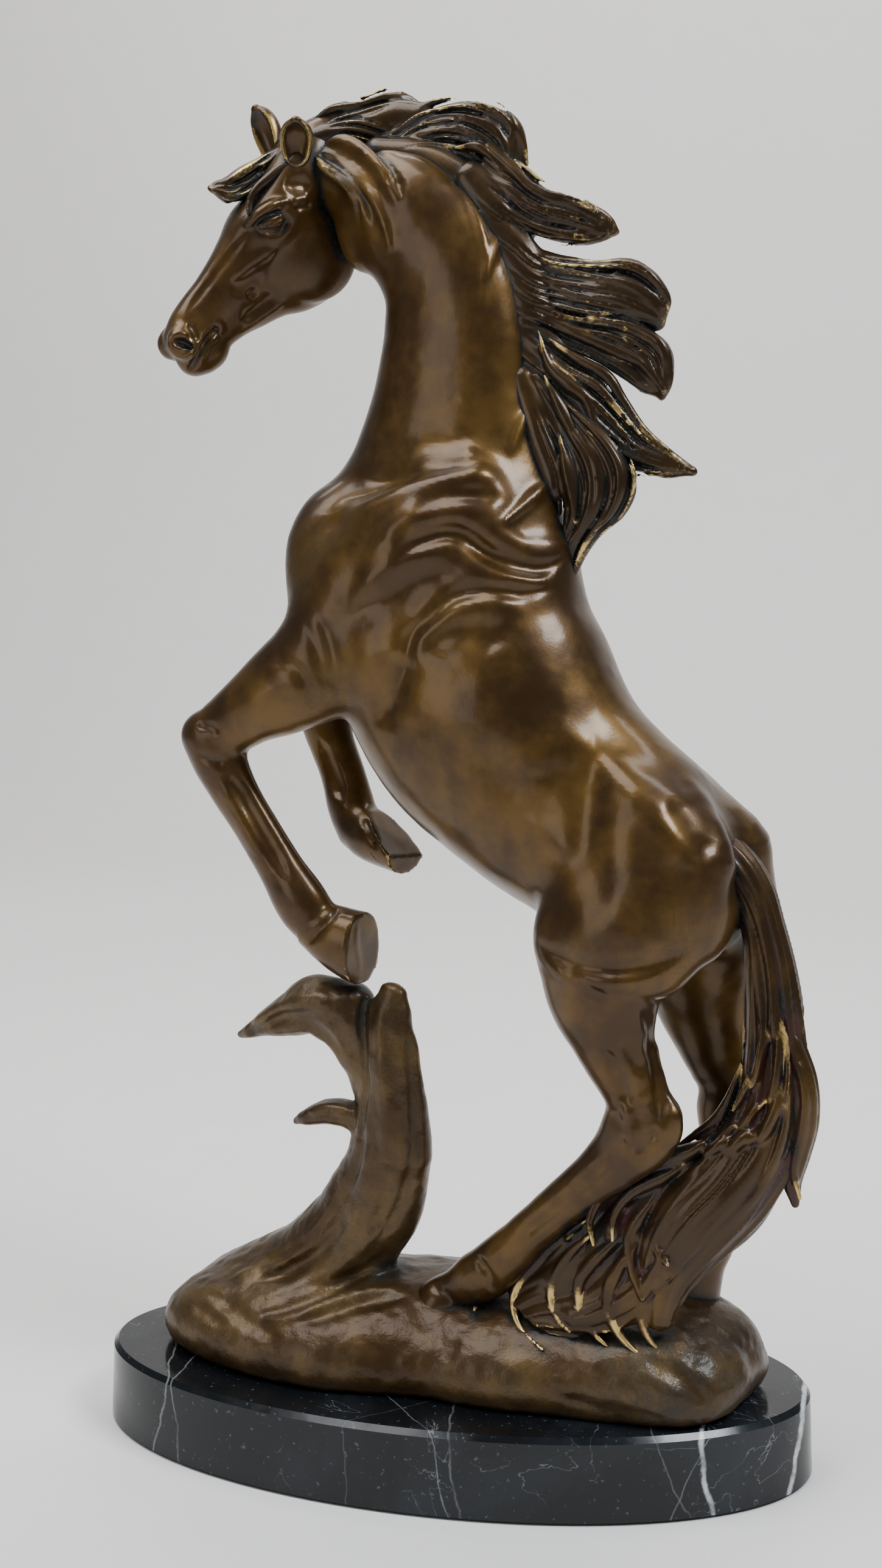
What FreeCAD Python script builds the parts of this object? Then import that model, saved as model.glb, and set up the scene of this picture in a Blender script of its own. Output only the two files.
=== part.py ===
import FreeCAD, Part

import math
import os

# Bronze statuette of a rearing horse on an oval marble base.
# All sizes are millimetres.  +Z is up and the origin is the middle of the marble's underside.
# The horse is drawn in its own frame, (forward, left, up), and turned onto the base at the end.

# ---- driving dimensions ----
BASE_LENGTH = 220.0
BASE_WIDTH = 102.0
BASE_HEIGHT = 24.0
FELT_THICKNESS = 1.0
FELT_INSET = 2.0
BASE_TAPER = 1.0
BASE_BEVEL = 1.5
BASE_TOP = FELT_THICKNESS + BASE_HEIGHT

HORSE_TURN = 165.0
HORSE_OFFSET = 12.0
BRONZE_WALL = 4.0

STUD_DIAMETER = 6.0
STUD_SPACING = 90.0
STUD_LENGTH = 30.0
STUD_START = 3.0
STUD_HOLE_DIAMETER = 7.0
NUT_ACROSS_FLATS = 10.0
NUT_HEIGHT = 5.0
WASHER_DIAMETER = 18.0
WASHER_THICKNESS = 1.6
COUNTERBORE_DIAMETER = 22.0
COUNTERBORE_DEPTH = 9.0
BOSS_DIAMETER = 14.0

MOUND_CENTRE_X = 2.0
MOUND_POINTS = 28
PINCH_ANGLE = 268.0
PINCH_SPREAD = 14.0
PINCH_SHARE = 0.16
# Levels of the ground: rise above the marble, half length, half width.
MOUND_LEVELS = [
    (0, 93, 36.5),
    (8, 95, 37.5),
    (17, 90, 34),
    (25, 78, 27),
    (29, 62, 18),
]

X_AXIS = FreeCAD.Vector(1, 0, 0)
Y_AXIS = FreeCAD.Vector(0, 1, 0)
Z_AXIS = FreeCAD.Vector(0, 0, 1)
SECTION_POINTS = 10

# ---- the horse: stations along each limb, (forward, left, up, half width, half depth) ----
BODY = [
    (-80, 0, 165, 9, 8),
    (-74, 0, 168, 17, 17),
    (-63, 0, 176, 24, 25),
    (-49, 0, 185, 28, 31),
    (-33, 0, 195, 28, 32),
    (-18, 0, 206, 30, 35),
    (-3, 0, 222, 31, 40),
    (8, 0, 239, 30, 41),
    (15, 0, 256, 29, 43),
    (18, 0, 273, 26, 43),
    (17, 0, 288, 20, 38),
    (16, 0, 303, 16, 31),
    (15, 0, 320, 14, 26),
    (14, 0, 337, 12.5, 23),
    (17, 0, 352, 12, 20),
    (26, 2, 367, 11.5, 17),
    (37, 4, 377, 11, 14),
]
BODY_WITHOUT_ENDS = slice(1, -1)
LOIN_WELD = ((-24, 0, 201), (0.72, 0, 0.69))
NECK_WELD = ((17, 0, 290), (-0.03, 0, 1))

POLL = FreeCAD.Vector(60, 5, 394)
MUZZLE = FreeCAD.Vector(93, 39, 336)
HEAD_ROLL = 14.0
# Along the face from the poll, across, and above the face line.
HEAD = [
    (-4, 0, -9, 6, 6),
    (2, 0, -11, 10, 10),
    (12, 0, -14, 12.5, 15),
    (22, 0, -17, 13, 19),
    (31, 0, -17.5, 11.5, 18),
    (42, 0, -15, 9, 13),
    (52, 0, -12.5, 7.6, 9.8),
    (62, 0, -11.5, 7.4, 9),
    (70, 0, -12, 7.6, 8.8),
    (77, 0, -13, 5, 5.5),
]
# The same for an ear, with its distance outward, and for the forelock.
EAR = [
    (2, 7.5, -3, 4.5, 4),
    (0, 9, 3, 5, 4.2),
    (-2.5, 10, 9, 4, 3.4),
    (-5, 10, 15, 1.2, 1.2),
]
FORELOCK = [
    (4, 0, -1, 6, 3),
    (12, 0, 4, 6, 3.4),
    (19, -1, 7, 4.5, 3),
    (25, -2, 11, 2, 1.6),
]

LEFT_FOREARM = [
    (30, 13, 252, 12, 20),
    (44, 21, 240, 11, 17),
    (58, 23, 231, 9.5, 14),
    (68.5, 24, 225, 8.5, 11.5),
    (79, 24, 218.5, 8.5, 10.5),
    (86, 24, 214.5, 6.5, 7.5),
]
LEFT_CANNON = [
    (84, 24, 221, 6.5, 8),
    (82.5, 24, 214, 8.5, 11),
    (79.5, 24, 204, 6.8, 8.8),
    (73.5, 23, 195, 6, 8),
    (63, 22.5, 179, 6, 8),
    (54, 22, 166, 7, 9),
    (47, 21, 159, 7, 8.5),
]
LEFT_HOOF = [
    (50, 21, 161, 7, 8),
    (41, 20.5, 156, 8.5, 10.5),
    (31.5, 20, 153.5, 9.5, 12.5),
]
RIGHT_FOREARM = [
    (30, -13, 252, 12, 20),
    (42, -19, 246, 10.5, 16),
    (56, -20, 238, 9, 13),
    (66, -19, 230, 8.5, 10.5),
    (71, -19, 226, 5, 6),
]
RIGHT_CANNON = [
    (69, -19, 233, 5, 6),
    (69, -19, 226, 8.5, 10.5),
    (66, -18, 214, 7, 8),
    (61, -17, 202, 6.5, 8),
    (56, -15.5, 192, 7, 8.5),
    (50, -14, 185.5, 7, 8.5),
]
RIGHT_HOOF = [
    (53, -14.5, 187.5, 7, 8),
    (44, -12, 182.5, 8.5, 9.5),
    (36, -8, 181, 9, 10.5),
]

LEFT_THIGH = [
    (-58, 13, 190, 14, 22),
    (-47, 19, 168, 15, 25),
    (-43, 20, 151, 12, 20),
    (-48, 20, 136, 9, 13.5),
    (-54, 19, 123, 7, 10),
    (-57, 18, 114, 6.5, 9),
]
LEFT_HIND_CANNON = [
    (-60, 18, 121, 6, 8),
    (-57, 18, 113, 7, 11.5),
    (-48, 17.5, 101, 5.8, 8.8),
    (-36, 17, 89, 5.4, 8),
    (-22, 16, 75, 5.6, 8),
    (-9, 15, 61, 6.5, 8.5),
    (0, 14, 52, 7, 8),
    (8, 14, 44, 9, 9),
]
RIGHT_THIGH = [
    (-62, -13, 188, 15, 22),
    (-60, -18, 164, 15, 25),
    (-60, -20, 148, 12, 19),
    (-62, -20, 134, 9, 14),
    (-66, -19, 120, 7, 10),
    (-69, -18, 112, 6.5, 9),
]
RIGHT_HIND_CANNON = [
    (-72, -18, 119, 6, 8),
    (-71, -18, 110, 7, 11),
    (-69, -18, 97, 5.8, 8),
    (-67, -18, 83, 5.4, 7.8),
    (-64, -18, 70, 6.5, 8.2),
    (-61, -18, 61, 7, 8),
    (-58, -18, 50, 9, 9),
]

TAIL = [
    (-72, 0, 186, 6, 7),
    (-81, 0, 180, 7, 8),
    (-85.5, 0, 168, 7, 8),
    (-87, 0, 156, 7.5, 8.5),
    (-89, 0, 141, 8, 9.5),
    (-89, 1, 125, 9, 11),
    (-86, 4, 110, 9.5, 12),
    (-78, 8, 95, 10, 14.5),
    (-63, 12, 80, 10, 16),
    (-53, 14, 67, 10, 18),
    (-49, 15, 53, 10, 20),
    (-47, 16, 38, 10, 20),
]
TAIL_OUTER_LOCK = [
    (-90, 2, 127, 5, 6),
    (-95, 3, 116, 5, 6),
    (-97, 4, 105, 4.5, 5),
    (-97, 5, 93, 2, 2.5),
]

MANE = {
    "mane_poll_lock": [
        (58, 0, 392, 8, 7),
        (50, -4, 396, 9, 9),
        (40, -7, 397, 9, 9),
        (30, -8, 397, 8, 9),
        (20, -8, 391, 5, 6),
    ],
    "mane_crest_lock": [
        (30, -3, 386, 8, 8),
        (18, -6, 389, 9, 9),
        (4, -8, 389, 9, 10.5),
        (-5, -8, 383, 8, 9),
        (-10, -8, 374, 5, 6),
    ],
    "mane_upper_lock": [
        (-2, -4, 374, 7, 9),
        (-14, -6, 367, 8, 9),
        (-26, -8, 362, 7, 7.5),
        (-36, -10, 359, 3.5, 4),
    ],
    "mane_middle_lock": [
        (-6, -3, 352, 7, 13),
        (-20, -5, 344, 8, 13),
        (-34, -7, 337, 8, 13),
        (-46, -9, 329, 7, 15),
        (-52, -10, 322, 5, 12),
    ],
    "mane_lower_lock": [
        (-14, -3, 322, 7, 13),
        (-26, -4, 314, 8, 13),
        (-38, -5, 304, 8, 12),
        (-49, -5, 294, 6, 7),
        (-59, -6, 290, 2.5, 3),
    ],
    "mane_withers_lock": [
        (-18, -1, 304, 7, 13),
        (-27, -1, 294, 7, 13),
        (-33, -1, 284, 6, 9),
        (-29, 0, 272, 4, 5),
        (-24, 1, 263, 2.5, 3),
    ],
}

WAVE_STEM = [
    (72, 2, 36, 16, 14),
    (58, 6, 52, 14, 13),
    (42, 10, 67, 12, 14),
    (32, 12, 82, 10, 13),
    (27, 13, 96, 9, 12.5),
    (27, 14, 108, 8, 11),
]
WAVE_CREST = [
    (33, 15, 100, 5, 5),
    (35, 15, 113, 6, 5),
    (37, 16, 124, 9, 6),
    (41, 16, 134, 11, 7),
    (52, 16, 135, 9, 6.5),
    (64, 16, 129, 6, 5),
    (76, 16, 124, 2.5, 2.5),
]
WAVE_LEAF = [
    (21, 14, 96, 7, 8),
    (23, 14, 112, 7, 8.5),
    (25, 15, 126, 6, 8),
    (25, 15, 138, 4, 5.5),
    (24.5, 15, 143, 2, 2.5),
]
WAVE_CURL = [
    (34, 14, 97, 4, 4.5),
    (42, 15, 101, 5, 3.6),
    (50, 15, 101, 5.5, 3.6),
    (58, 15, 97, 2.5, 2),
]


def curve_section(centre, across, through, half_width, half_depth):
    """One closed smooth section, shaped like an ellipse."""
    points = []
    for step in range(SECTION_POINTS):
        turn = 2 * math.pi * step / SECTION_POINTS
        points.append(
            centre
            + across * (half_width * math.cos(turn))
            + through * (half_depth * math.sin(turn))
        )
    curve = Part.BSplineCurve()
    curve.interpolate(points, PeriodicFlag=True)
    return Part.Wire([curve.toShape()])


def limb(stations, side=Y_AXIS):
    """A solid that follows its stations, with each section square to the path."""
    centres = [FreeCAD.Vector(*station[:3]) for station in stations]
    last = len(centres) - 1
    sections = []
    for index, (*_, half_width, half_depth) in enumerate(stations):
        path = (centres[min(index + 1, last)] - centres[max(index - 1, 0)]).normalize()
        across = (side - path * side.dot(path)).normalize()
        through = path.cross(across)
        sections.append(
            curve_section(centres[index], across, through, half_width, half_depth)
        )
    return Part.makeLoft(sections, True, False)


def half_space(weld, reach=400.0):
    """A large block that fills the side of a weld plane that its normal points away from."""
    point, normal = weld
    block = Part.makeBox(reach, reach, reach, FreeCAD.Vector(-reach / 2, -reach / 2, -reach))
    block.rotate(FreeCAD.Vector(0, 0, 0), *axis_and_angle(FreeCAD.Vector(*normal)))
    block.translate(FreeCAD.Vector(*point))
    return block


def axis_and_angle(direction):
    """The turn that brings the up axis onto a direction, as an axis and an angle in degrees."""
    turn = FreeCAD.Rotation(Z_AXIS, direction)
    return turn.Axis, math.degrees(turn.Angle)


def thinner(stations, wall):
    """The stations of the hollow inside a casting."""
    return [
        (forward, left, up, half_width - wall, half_depth - wall)
        for forward, left, up, half_width, half_depth in stations
    ]


def head_frame():
    """Directions along the face, to the horse's left, and out of the forehead."""
    along = (MUZZLE - POLL).normalize()
    level = FreeCAD.Vector(along.x, along.y, 0).normalize()
    roll = math.radians(HEAD_ROLL)
    left = FreeCAD.Vector(-level.y, level.x, 0) * math.cos(roll) - Z_AXIS * math.sin(roll)
    left = (left - along * left.dot(along)).normalize()
    return along, left, along.cross(left)


def head_point(forward, left, up):
    """A place given in the head's own frame, in the horse's frame."""
    along, across, out = head_frame()
    return POLL + along * forward + across * left + out * up


def head_stations(rows):
    """Head stations moved from the head's own frame to the horse's frame."""
    return [(*head_point(*row[:3]), *row[3:]) for row in rows]


def largest(shape):
    """The biggest solid of a shape that a cut may have left in several."""
    return max(shape.Solids, key=lambda solid: solid.Volume)


def oval(length, width, height, bottom, centre_x=0.0):
    """An oval slab with straight sides."""
    ellipse = Part.Ellipse(FreeCAD.Vector(centre_x, 0, bottom), length / 2, width / 2)
    face = Part.Face(Part.Wire([ellipse.toShape()]))
    return face.extrude(Z_AXIS * height)


def tapered_oval(lower, upper, bottom, top):
    """An oval slab whose length and width change evenly from bottom to top."""
    wires = []
    for (length, width), height in ((lower, bottom), (upper, top)):
        ellipse = Part.Ellipse(FreeCAD.Vector(0, 0, height), length / 2, width / 2)
        wires.append(Part.Wire([ellipse.toShape()]))
    return Part.makeLoft(wires, True, True)


def stud_places():
    """The two places where the bronze is bolted to the marble."""
    for side in (-1, 1):
        yield MOUND_CENTRE_X + side * STUD_SPACING / 2


def marble_base():
    """The slab: slightly narrower at the top, bevelled, drilled and counterbored for its studs."""
    full = (BASE_LENGTH, BASE_WIDTH)
    shoulder = tuple(size - 2 * BASE_TAPER for size in full)
    top = tuple(size - 2 * BASE_BEVEL for size in shoulder)
    bevel_start = BASE_TOP - BASE_BEVEL
    body = tapered_oval(full, shoulder, FELT_THICKNESS, bevel_start)
    body = body.fuse(tapered_oval(shoulder, top, bevel_start, BASE_TOP))
    for x in stud_places():
        place = FreeCAD.Vector(x, 0, FELT_THICKNESS)
        body = body.cut(Part.makeCylinder(STUD_HOLE_DIAMETER / 2, BASE_HEIGHT, place))
        body = body.cut(Part.makeCylinder(COUNTERBORE_DIAMETER / 2, COUNTERBORE_DEPTH, place))
    return body


def felt_pad():
    """Thin felt under the slab, cut a little smaller than it."""
    return oval(BASE_LENGTH - FELT_INSET, BASE_WIDTH - FELT_INSET, FELT_THICKNESS, 0.0)


def stud_height():
    """The height at which the studs start, inside the counterbores."""
    return FELT_THICKNESS + STUD_START


def washer_height():
    """The washers' underside; they press on the floor of the counterbores."""
    return FELT_THICKNESS + COUNTERBORE_DEPTH - WASHER_THICKNESS


def mounting_studs():
    """The threaded rods that hold the bronze on the slab."""
    return Part.makeCompound(
        [
            Part.makeCylinder(STUD_DIAMETER / 2, STUD_LENGTH, FreeCAD.Vector(x, 0, stud_height()))
            for x in stud_places()
        ]
    )


def mounting_washers():
    """One wide washer on each stud."""
    washers = []
    for x in stud_places():
        place = FreeCAD.Vector(x, 0, washer_height())
        disc = Part.makeCylinder(WASHER_DIAMETER / 2, WASHER_THICKNESS, place)
        washers.append(disc.cut(Part.makeCylinder(STUD_DIAMETER / 2, WASHER_THICKNESS, place)))
    return Part.makeCompound(washers)


def mounting_nuts():
    """One hexagon nut on each stud."""
    nuts = []
    corner_radius = NUT_ACROSS_FLATS / 2 / math.cos(math.pi / 6)
    for x in stud_places():
        place = FreeCAD.Vector(x, 0, washer_height() - NUT_HEIGHT)
        corners = [
            place
            + FreeCAD.Vector(
                corner_radius * math.cos(side * math.pi / 3),
                corner_radius * math.sin(side * math.pi / 3),
                0,
            )
            for side in range(7)
        ]
        body = Part.Face(Part.makePolygon(corners)).extrude(Z_AXIS * NUT_HEIGHT)
        nuts.append(body.cut(Part.makeCylinder(STUD_DIAMETER / 2, NUT_HEIGHT, place)))
    return Part.makeCompound(nuts)


def stud_bosses(ground):
    """Round bosses brazed under the roof of the ground casting, one for each stud."""
    bosses = []
    stud_top = stud_height() + STUD_LENGTH
    for x in stud_places():
        place = FreeCAD.Vector(x, 0, BASE_TOP)
        boss = Part.makeCylinder(BOSS_DIAMETER / 2, 2 * STUD_LENGTH, place)
        boss = boss.common(ground)
        hole = Part.makeCylinder(STUD_DIAMETER / 2, stud_top - BASE_TOP, place)
        bosses.append(largest(boss.cut(hole)))
    return Part.makeCompound(bosses)


def mound_outline(height, half_length, half_width):
    """One level of the ground: a long oval, pinched a little at the middle of its front."""
    points = []
    for step in range(MOUND_POINTS):
        turn = 2 * math.pi * step / MOUND_POINTS
        from_front = (math.degrees(turn) - PINCH_ANGLE) / PINCH_SPREAD
        pinch = PINCH_SHARE * math.exp(-(from_front**2))
        points.append(
            FreeCAD.Vector(
                MOUND_CENTRE_X + half_length * math.cos(turn),
                half_width * (1 - pinch) * math.sin(turn),
                height,
            )
        )
    curve = Part.BSplineCurve()
    curve.interpolate(points, PeriodicFlag=True)
    return Part.Wire([curve.toShape()])


def mound(levels, wall):
    """The ground as a stack of outlines, or with a wall its hollow inside."""
    outlines = []
    for rise, half_length, half_width in levels:
        height = BASE_TOP + (rise - wall if rise else 0)
        outlines.append(mound_outline(height, half_length - wall, half_width - wall))
    return Part.makeLoft(outlines, True, False)


def body_castings():
    """Hindquarters, torso and neck: one hollow form, cast in three and welded."""
    outer = limb(BODY)
    inner = limb(thinner(BODY[BODY_WITHOUT_ENDS], BRONZE_WALL))
    shell = outer.cut(inner)
    behind_loin = half_space(LOIN_WELD)
    below_neck = half_space(NECK_WELD)
    castings = {
        "hindquarters": shell.common(behind_loin),
        "torso": shell.cut(behind_loin).common(below_neck),
        "neck": shell.cut(below_neck),
    }
    return outer, castings


def head_casting():
    """The head without its ears and forelock."""
    _, left, _ = head_frame()
    return limb(head_stations(HEAD), left)


def ear(side):
    """The left ear (side 1) or the right ear (side -1)."""
    _, left, _ = head_frame()
    rows = [(forward, side * outward, *rest) for forward, outward, *rest in EAR]
    return limb(head_stations(rows), left)


def forelock():
    """The lock of hair that is blown up off the forehead."""
    _, left, _ = head_frame()
    return limb(head_stations(FORELOCK), left)


def leg(*lofts):
    """One leg: its lofts fused."""
    shape = limb(lofts[0])
    for stations in lofts[1:]:
        shape = shape.fuse(limb(stations))
    return shape


def horse_parts():
    """Every casting of the horse and the wave, in the horse's frame, trimmed to its neighbours."""
    outer, parts = body_castings()
    trimmed = [outer]

    def add(name, shape):
        for neighbour in trimmed:
            if shape.BoundBox.intersect(neighbour.BoundBox):
                shape = shape.cut(neighbour)
        parts[name] = largest(shape)
        trimmed.append(parts[name])

    add("head", head_casting())
    add("left_ear", ear(1))
    add("right_ear", ear(-1))
    add("forelock", forelock())
    for name, stations in MANE.items():
        add(name, limb(stations))
    add("left_foreleg", leg(LEFT_FOREARM, LEFT_CANNON, LEFT_HOOF))
    add("right_foreleg", leg(RIGHT_FOREARM, RIGHT_CANNON, RIGHT_HOOF))
    add("left_hind_leg", leg(LEFT_THIGH, LEFT_HIND_CANNON))
    add("right_hind_leg", leg(RIGHT_THIGH, RIGHT_HIND_CANNON))
    add("tail", limb(TAIL))
    add("tail_outer_lock", limb(TAIL_OUTER_LOCK))
    add("wave_stem", limb(WAVE_STEM))
    add("wave_leaf", limb(WAVE_LEAF))
    add("wave_crest", limb(WAVE_CREST))
    add("wave_curl", limb(WAVE_CURL))
    return parts


def onto_base(shape):
    """Turn a shape from the horse's frame to its place on the base."""
    shape = shape.copy()
    shape.rotate(FreeCAD.Vector(0, 0, 0), Z_AXIS, HORSE_TURN)
    shape.translate(X_AXIS * HORSE_OFFSET)
    return shape


def all_parts():
    """Every node of the statuette by its name, in place on the base."""
    ground = mound(MOUND_LEVELS, 0)
    parts = {
        "marble_base": marble_base(),
        "felt_pad": felt_pad(),
        "mounting_studs": mounting_studs(),
        "mounting_washers": mounting_washers(),
        "mounting_nuts": mounting_nuts(),
    }
    hollow = mound(MOUND_LEVELS, BRONZE_WALL)
    parts["stud_bosses"] = stud_bosses(hollow)
    parts["ground_mound"] = ground.cut(hollow)
    for name, shape in horse_parts().items():
        shape = onto_base(shape)
        if shape.BoundBox.ZMin < ground.BoundBox.ZMax:
            shape = largest(shape.cut(ground))
        parts[name] = shape
    return parts


os.makedirs("parts", exist_ok=True)
for node_name, solid in all_parts().items():
    box = solid.optimalBoundingBox(False)
    print(
        "%-20s valid %s solids %d volume %.0f  x %.0f..%.0f y %.0f..%.0f z %.0f..%.0f"
        % (node_name, solid.isValid(), len(solid.Solids), solid.Volume,
           box.XMin, box.XMax, box.YMin, box.YMax, box.ZMin, box.ZMax)
    )
    solid.exportStep("parts/%s.step" % node_name)
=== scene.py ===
import math

import bmesh
import bpy
import numpy as np
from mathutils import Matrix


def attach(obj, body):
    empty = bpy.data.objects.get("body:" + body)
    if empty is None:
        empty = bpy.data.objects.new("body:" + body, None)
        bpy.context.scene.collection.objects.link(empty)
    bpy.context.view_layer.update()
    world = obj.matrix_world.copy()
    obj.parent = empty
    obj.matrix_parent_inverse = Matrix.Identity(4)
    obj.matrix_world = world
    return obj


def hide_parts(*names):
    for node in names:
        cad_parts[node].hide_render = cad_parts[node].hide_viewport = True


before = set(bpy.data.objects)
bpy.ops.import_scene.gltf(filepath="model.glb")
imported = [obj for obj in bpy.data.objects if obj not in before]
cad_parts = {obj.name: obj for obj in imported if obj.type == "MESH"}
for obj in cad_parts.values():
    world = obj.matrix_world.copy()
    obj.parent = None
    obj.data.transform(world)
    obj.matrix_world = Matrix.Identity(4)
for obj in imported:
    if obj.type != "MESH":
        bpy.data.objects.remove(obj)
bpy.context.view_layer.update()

import openvdb as vdb
from mathutils import Vector

# A bronze rearing horse on a black marble slab.  The bronze is sculpted as signed distances,
# in millimetres and in the horse's own frame: (forward, left, up).  Each casting then becomes
# a closed mesh of its own, in metres, in the frame of the CAD.

MM = 0.001

# ---- the horse's frame on the base ----
HORSE_TURN = math.radians(165.0)
HORSE_OFFSET = 12.0
# Where the viewer's eye is in the horse's frame; folds are placed as they are seen from there.
EYE = np.array([-227.0, 468.5, 260.8])

# How far this side of its mark a line of sight starts to look for the skin.
SIGHT_START = 75.0

# The size of the grains that each form is sculpted in.
CLAY_GRAIN = 0.5
BODY_GRAIN = CLAY_GRAIN * 1.6
GROUND_GRAIN = CLAY_GRAIN * 1.4
HEAD_GRAIN = CLAY_GRAIN * 0.9
FORELOCK_GRAIN = CLAY_GRAIN * 0.7
EAR_GRAIN = CLAY_GRAIN * 0.6


def smooth_path(stations, step):
    """Stations (first three numbers are a place) joined by a smooth curve."""
    rows = np.array(stations, float)
    rows = np.vstack([2 * rows[0] - rows[1], rows, 2 * rows[-1] - rows[-2]])
    pieces = []
    for first in range(len(rows) - 3):
        a, b, c, d = rows[first:first + 4]
        count = max(2, math.ceil(np.linalg.norm((c - b)[:3]) / step))
        t = np.linspace(0, 1, count, endpoint=False)[:, None]
        pieces.append(
            0.5 * (2 * b + (c - a) * t + (2 * a - 5 * b + 4 * c - d) * t**2
                   + (3 * b - a - 3 * c + d) * t**3)
        )
    pieces.append(rows[-2][None])
    return np.vstack(pieces)


def unit(vectors):
    """Vectors, one or many, at length one."""
    vectors = np.asarray(vectors, float)
    return vectors / np.linalg.norm(vectors, axis=-1, keepdims=True)


def evened(line, passes):
    """A line with its small jumps smoothed away."""
    line = line.copy()
    for _ in range(passes):
        line[1:-1] = (line[:-2] + 2 * line[1:-1] + line[2:]) / 4
    return line


def skin(rings, first_tip, last_tip):
    """A closed mesh over rings of points, with a tip at each end."""
    count, sides = len(rings), len(rings[0])
    along = np.arange(count - 1)[:, None] * sides
    around = np.arange(sides)[None]
    onward = (around + 1) % sides
    quads = np.stack(
        [along + around, along + onward, along + sides + onward, along + sides + around], -1
    ).reshape(-1, 4)
    around, onward = around[0], onward[0]
    start = count * sides
    last = (count - 1) * sides
    fans = np.vstack([
        np.stack([np.full(sides, start), onward, around], -1),
        np.stack([np.full(sides, start + 1), last + around, last + onward], -1),
    ])
    return np.vstack([np.concatenate(rings), [first_tip], [last_tip]]), quads, fans


ROUND_END = np.radians([75, 55, 35, 15])
SIDEWAYS = (0, 1, 0)


def limb(stations, side=SIDEWAYS, power=2.0, end_length=1.0, sides=64, step=1.5, relief=None):
    """A closed form that follows stations (forward, left, up, half width, half depth).

    side gives the direction of the width.  relief(along, turn), if given, scales each radius.
    """
    path = smooth_path(stations, step)
    centres = path[:, :3]
    width = np.maximum(path[:, 3], 0.05)
    depth = np.maximum(path[:, 4], 0.05)
    tangent = unit(np.gradient(centres, axis=0))
    across = np.tile(np.asarray(side, float), (len(centres), 1))
    across = unit(across - (across * tangent).sum(1)[:, None] * tangent)
    through = np.cross(tangent, across)
    turn = np.linspace(0, 2 * math.pi, sides, endpoint=False)
    cos, sin = np.cos(turn), np.sin(turn)
    cos = np.sign(cos) * np.abs(cos) ** (2 / power)
    sin = np.sign(sin) * np.abs(sin) ** (2 / power)

    def ring(index, shift, scale):
        swell = scale
        if relief is not None:
            swell = scale * relief(index / (len(centres) - 1), turn)[:, None]
        return (centres[index] + tangent[index] * shift
                + swell * (cos[:, None] * width[index] * across[index]
                           + sin[:, None] * depth[index] * through[index]))

    first_reach = end_length * min(width[0], depth[0])
    last_reach = end_length * min(width[-1], depth[-1])
    rings = []
    if end_length:
        rings += [ring(0, -first_reach * math.sin(a), math.cos(a)) for a in ROUND_END]
    rings += [ring(index, 0, 1.0) for index in range(len(centres))]
    if end_length:
        last = len(centres) - 1
        rings += [ring(last, last_reach * math.sin(a), math.cos(a)) for a in ROUND_END[::-1]]
    return skin(rings, centres[0] - tangent[0] * first_reach, centres[-1] + tangent[-1] * last_reach)


def ball(centre, radii, along=(1, 0, 0)):
    """An egg shape: radii along, to the side, and the third way."""
    a = unit(along)
    b = np.array(SIDEWAYS, float)
    b = unit(b - (b @ a) * a)
    c = np.cross(a, b)
    centre = np.array(centre, float)
    lon = np.linspace(0, 2 * math.pi, 56, endpoint=False)[:, None]
    rings = []
    for lat in np.linspace(-math.pi / 2, math.pi / 2, 30)[1:-1]:
        rings.append(centre + a * radii[0] * math.sin(lat)
                     + b * radii[1] * math.cos(lat) * np.cos(lon)
                     + c * radii[2] * math.cos(lat) * np.sin(lon))
    return skin(rings, centre - a * radii[0], centre + a * radii[0])


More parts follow.
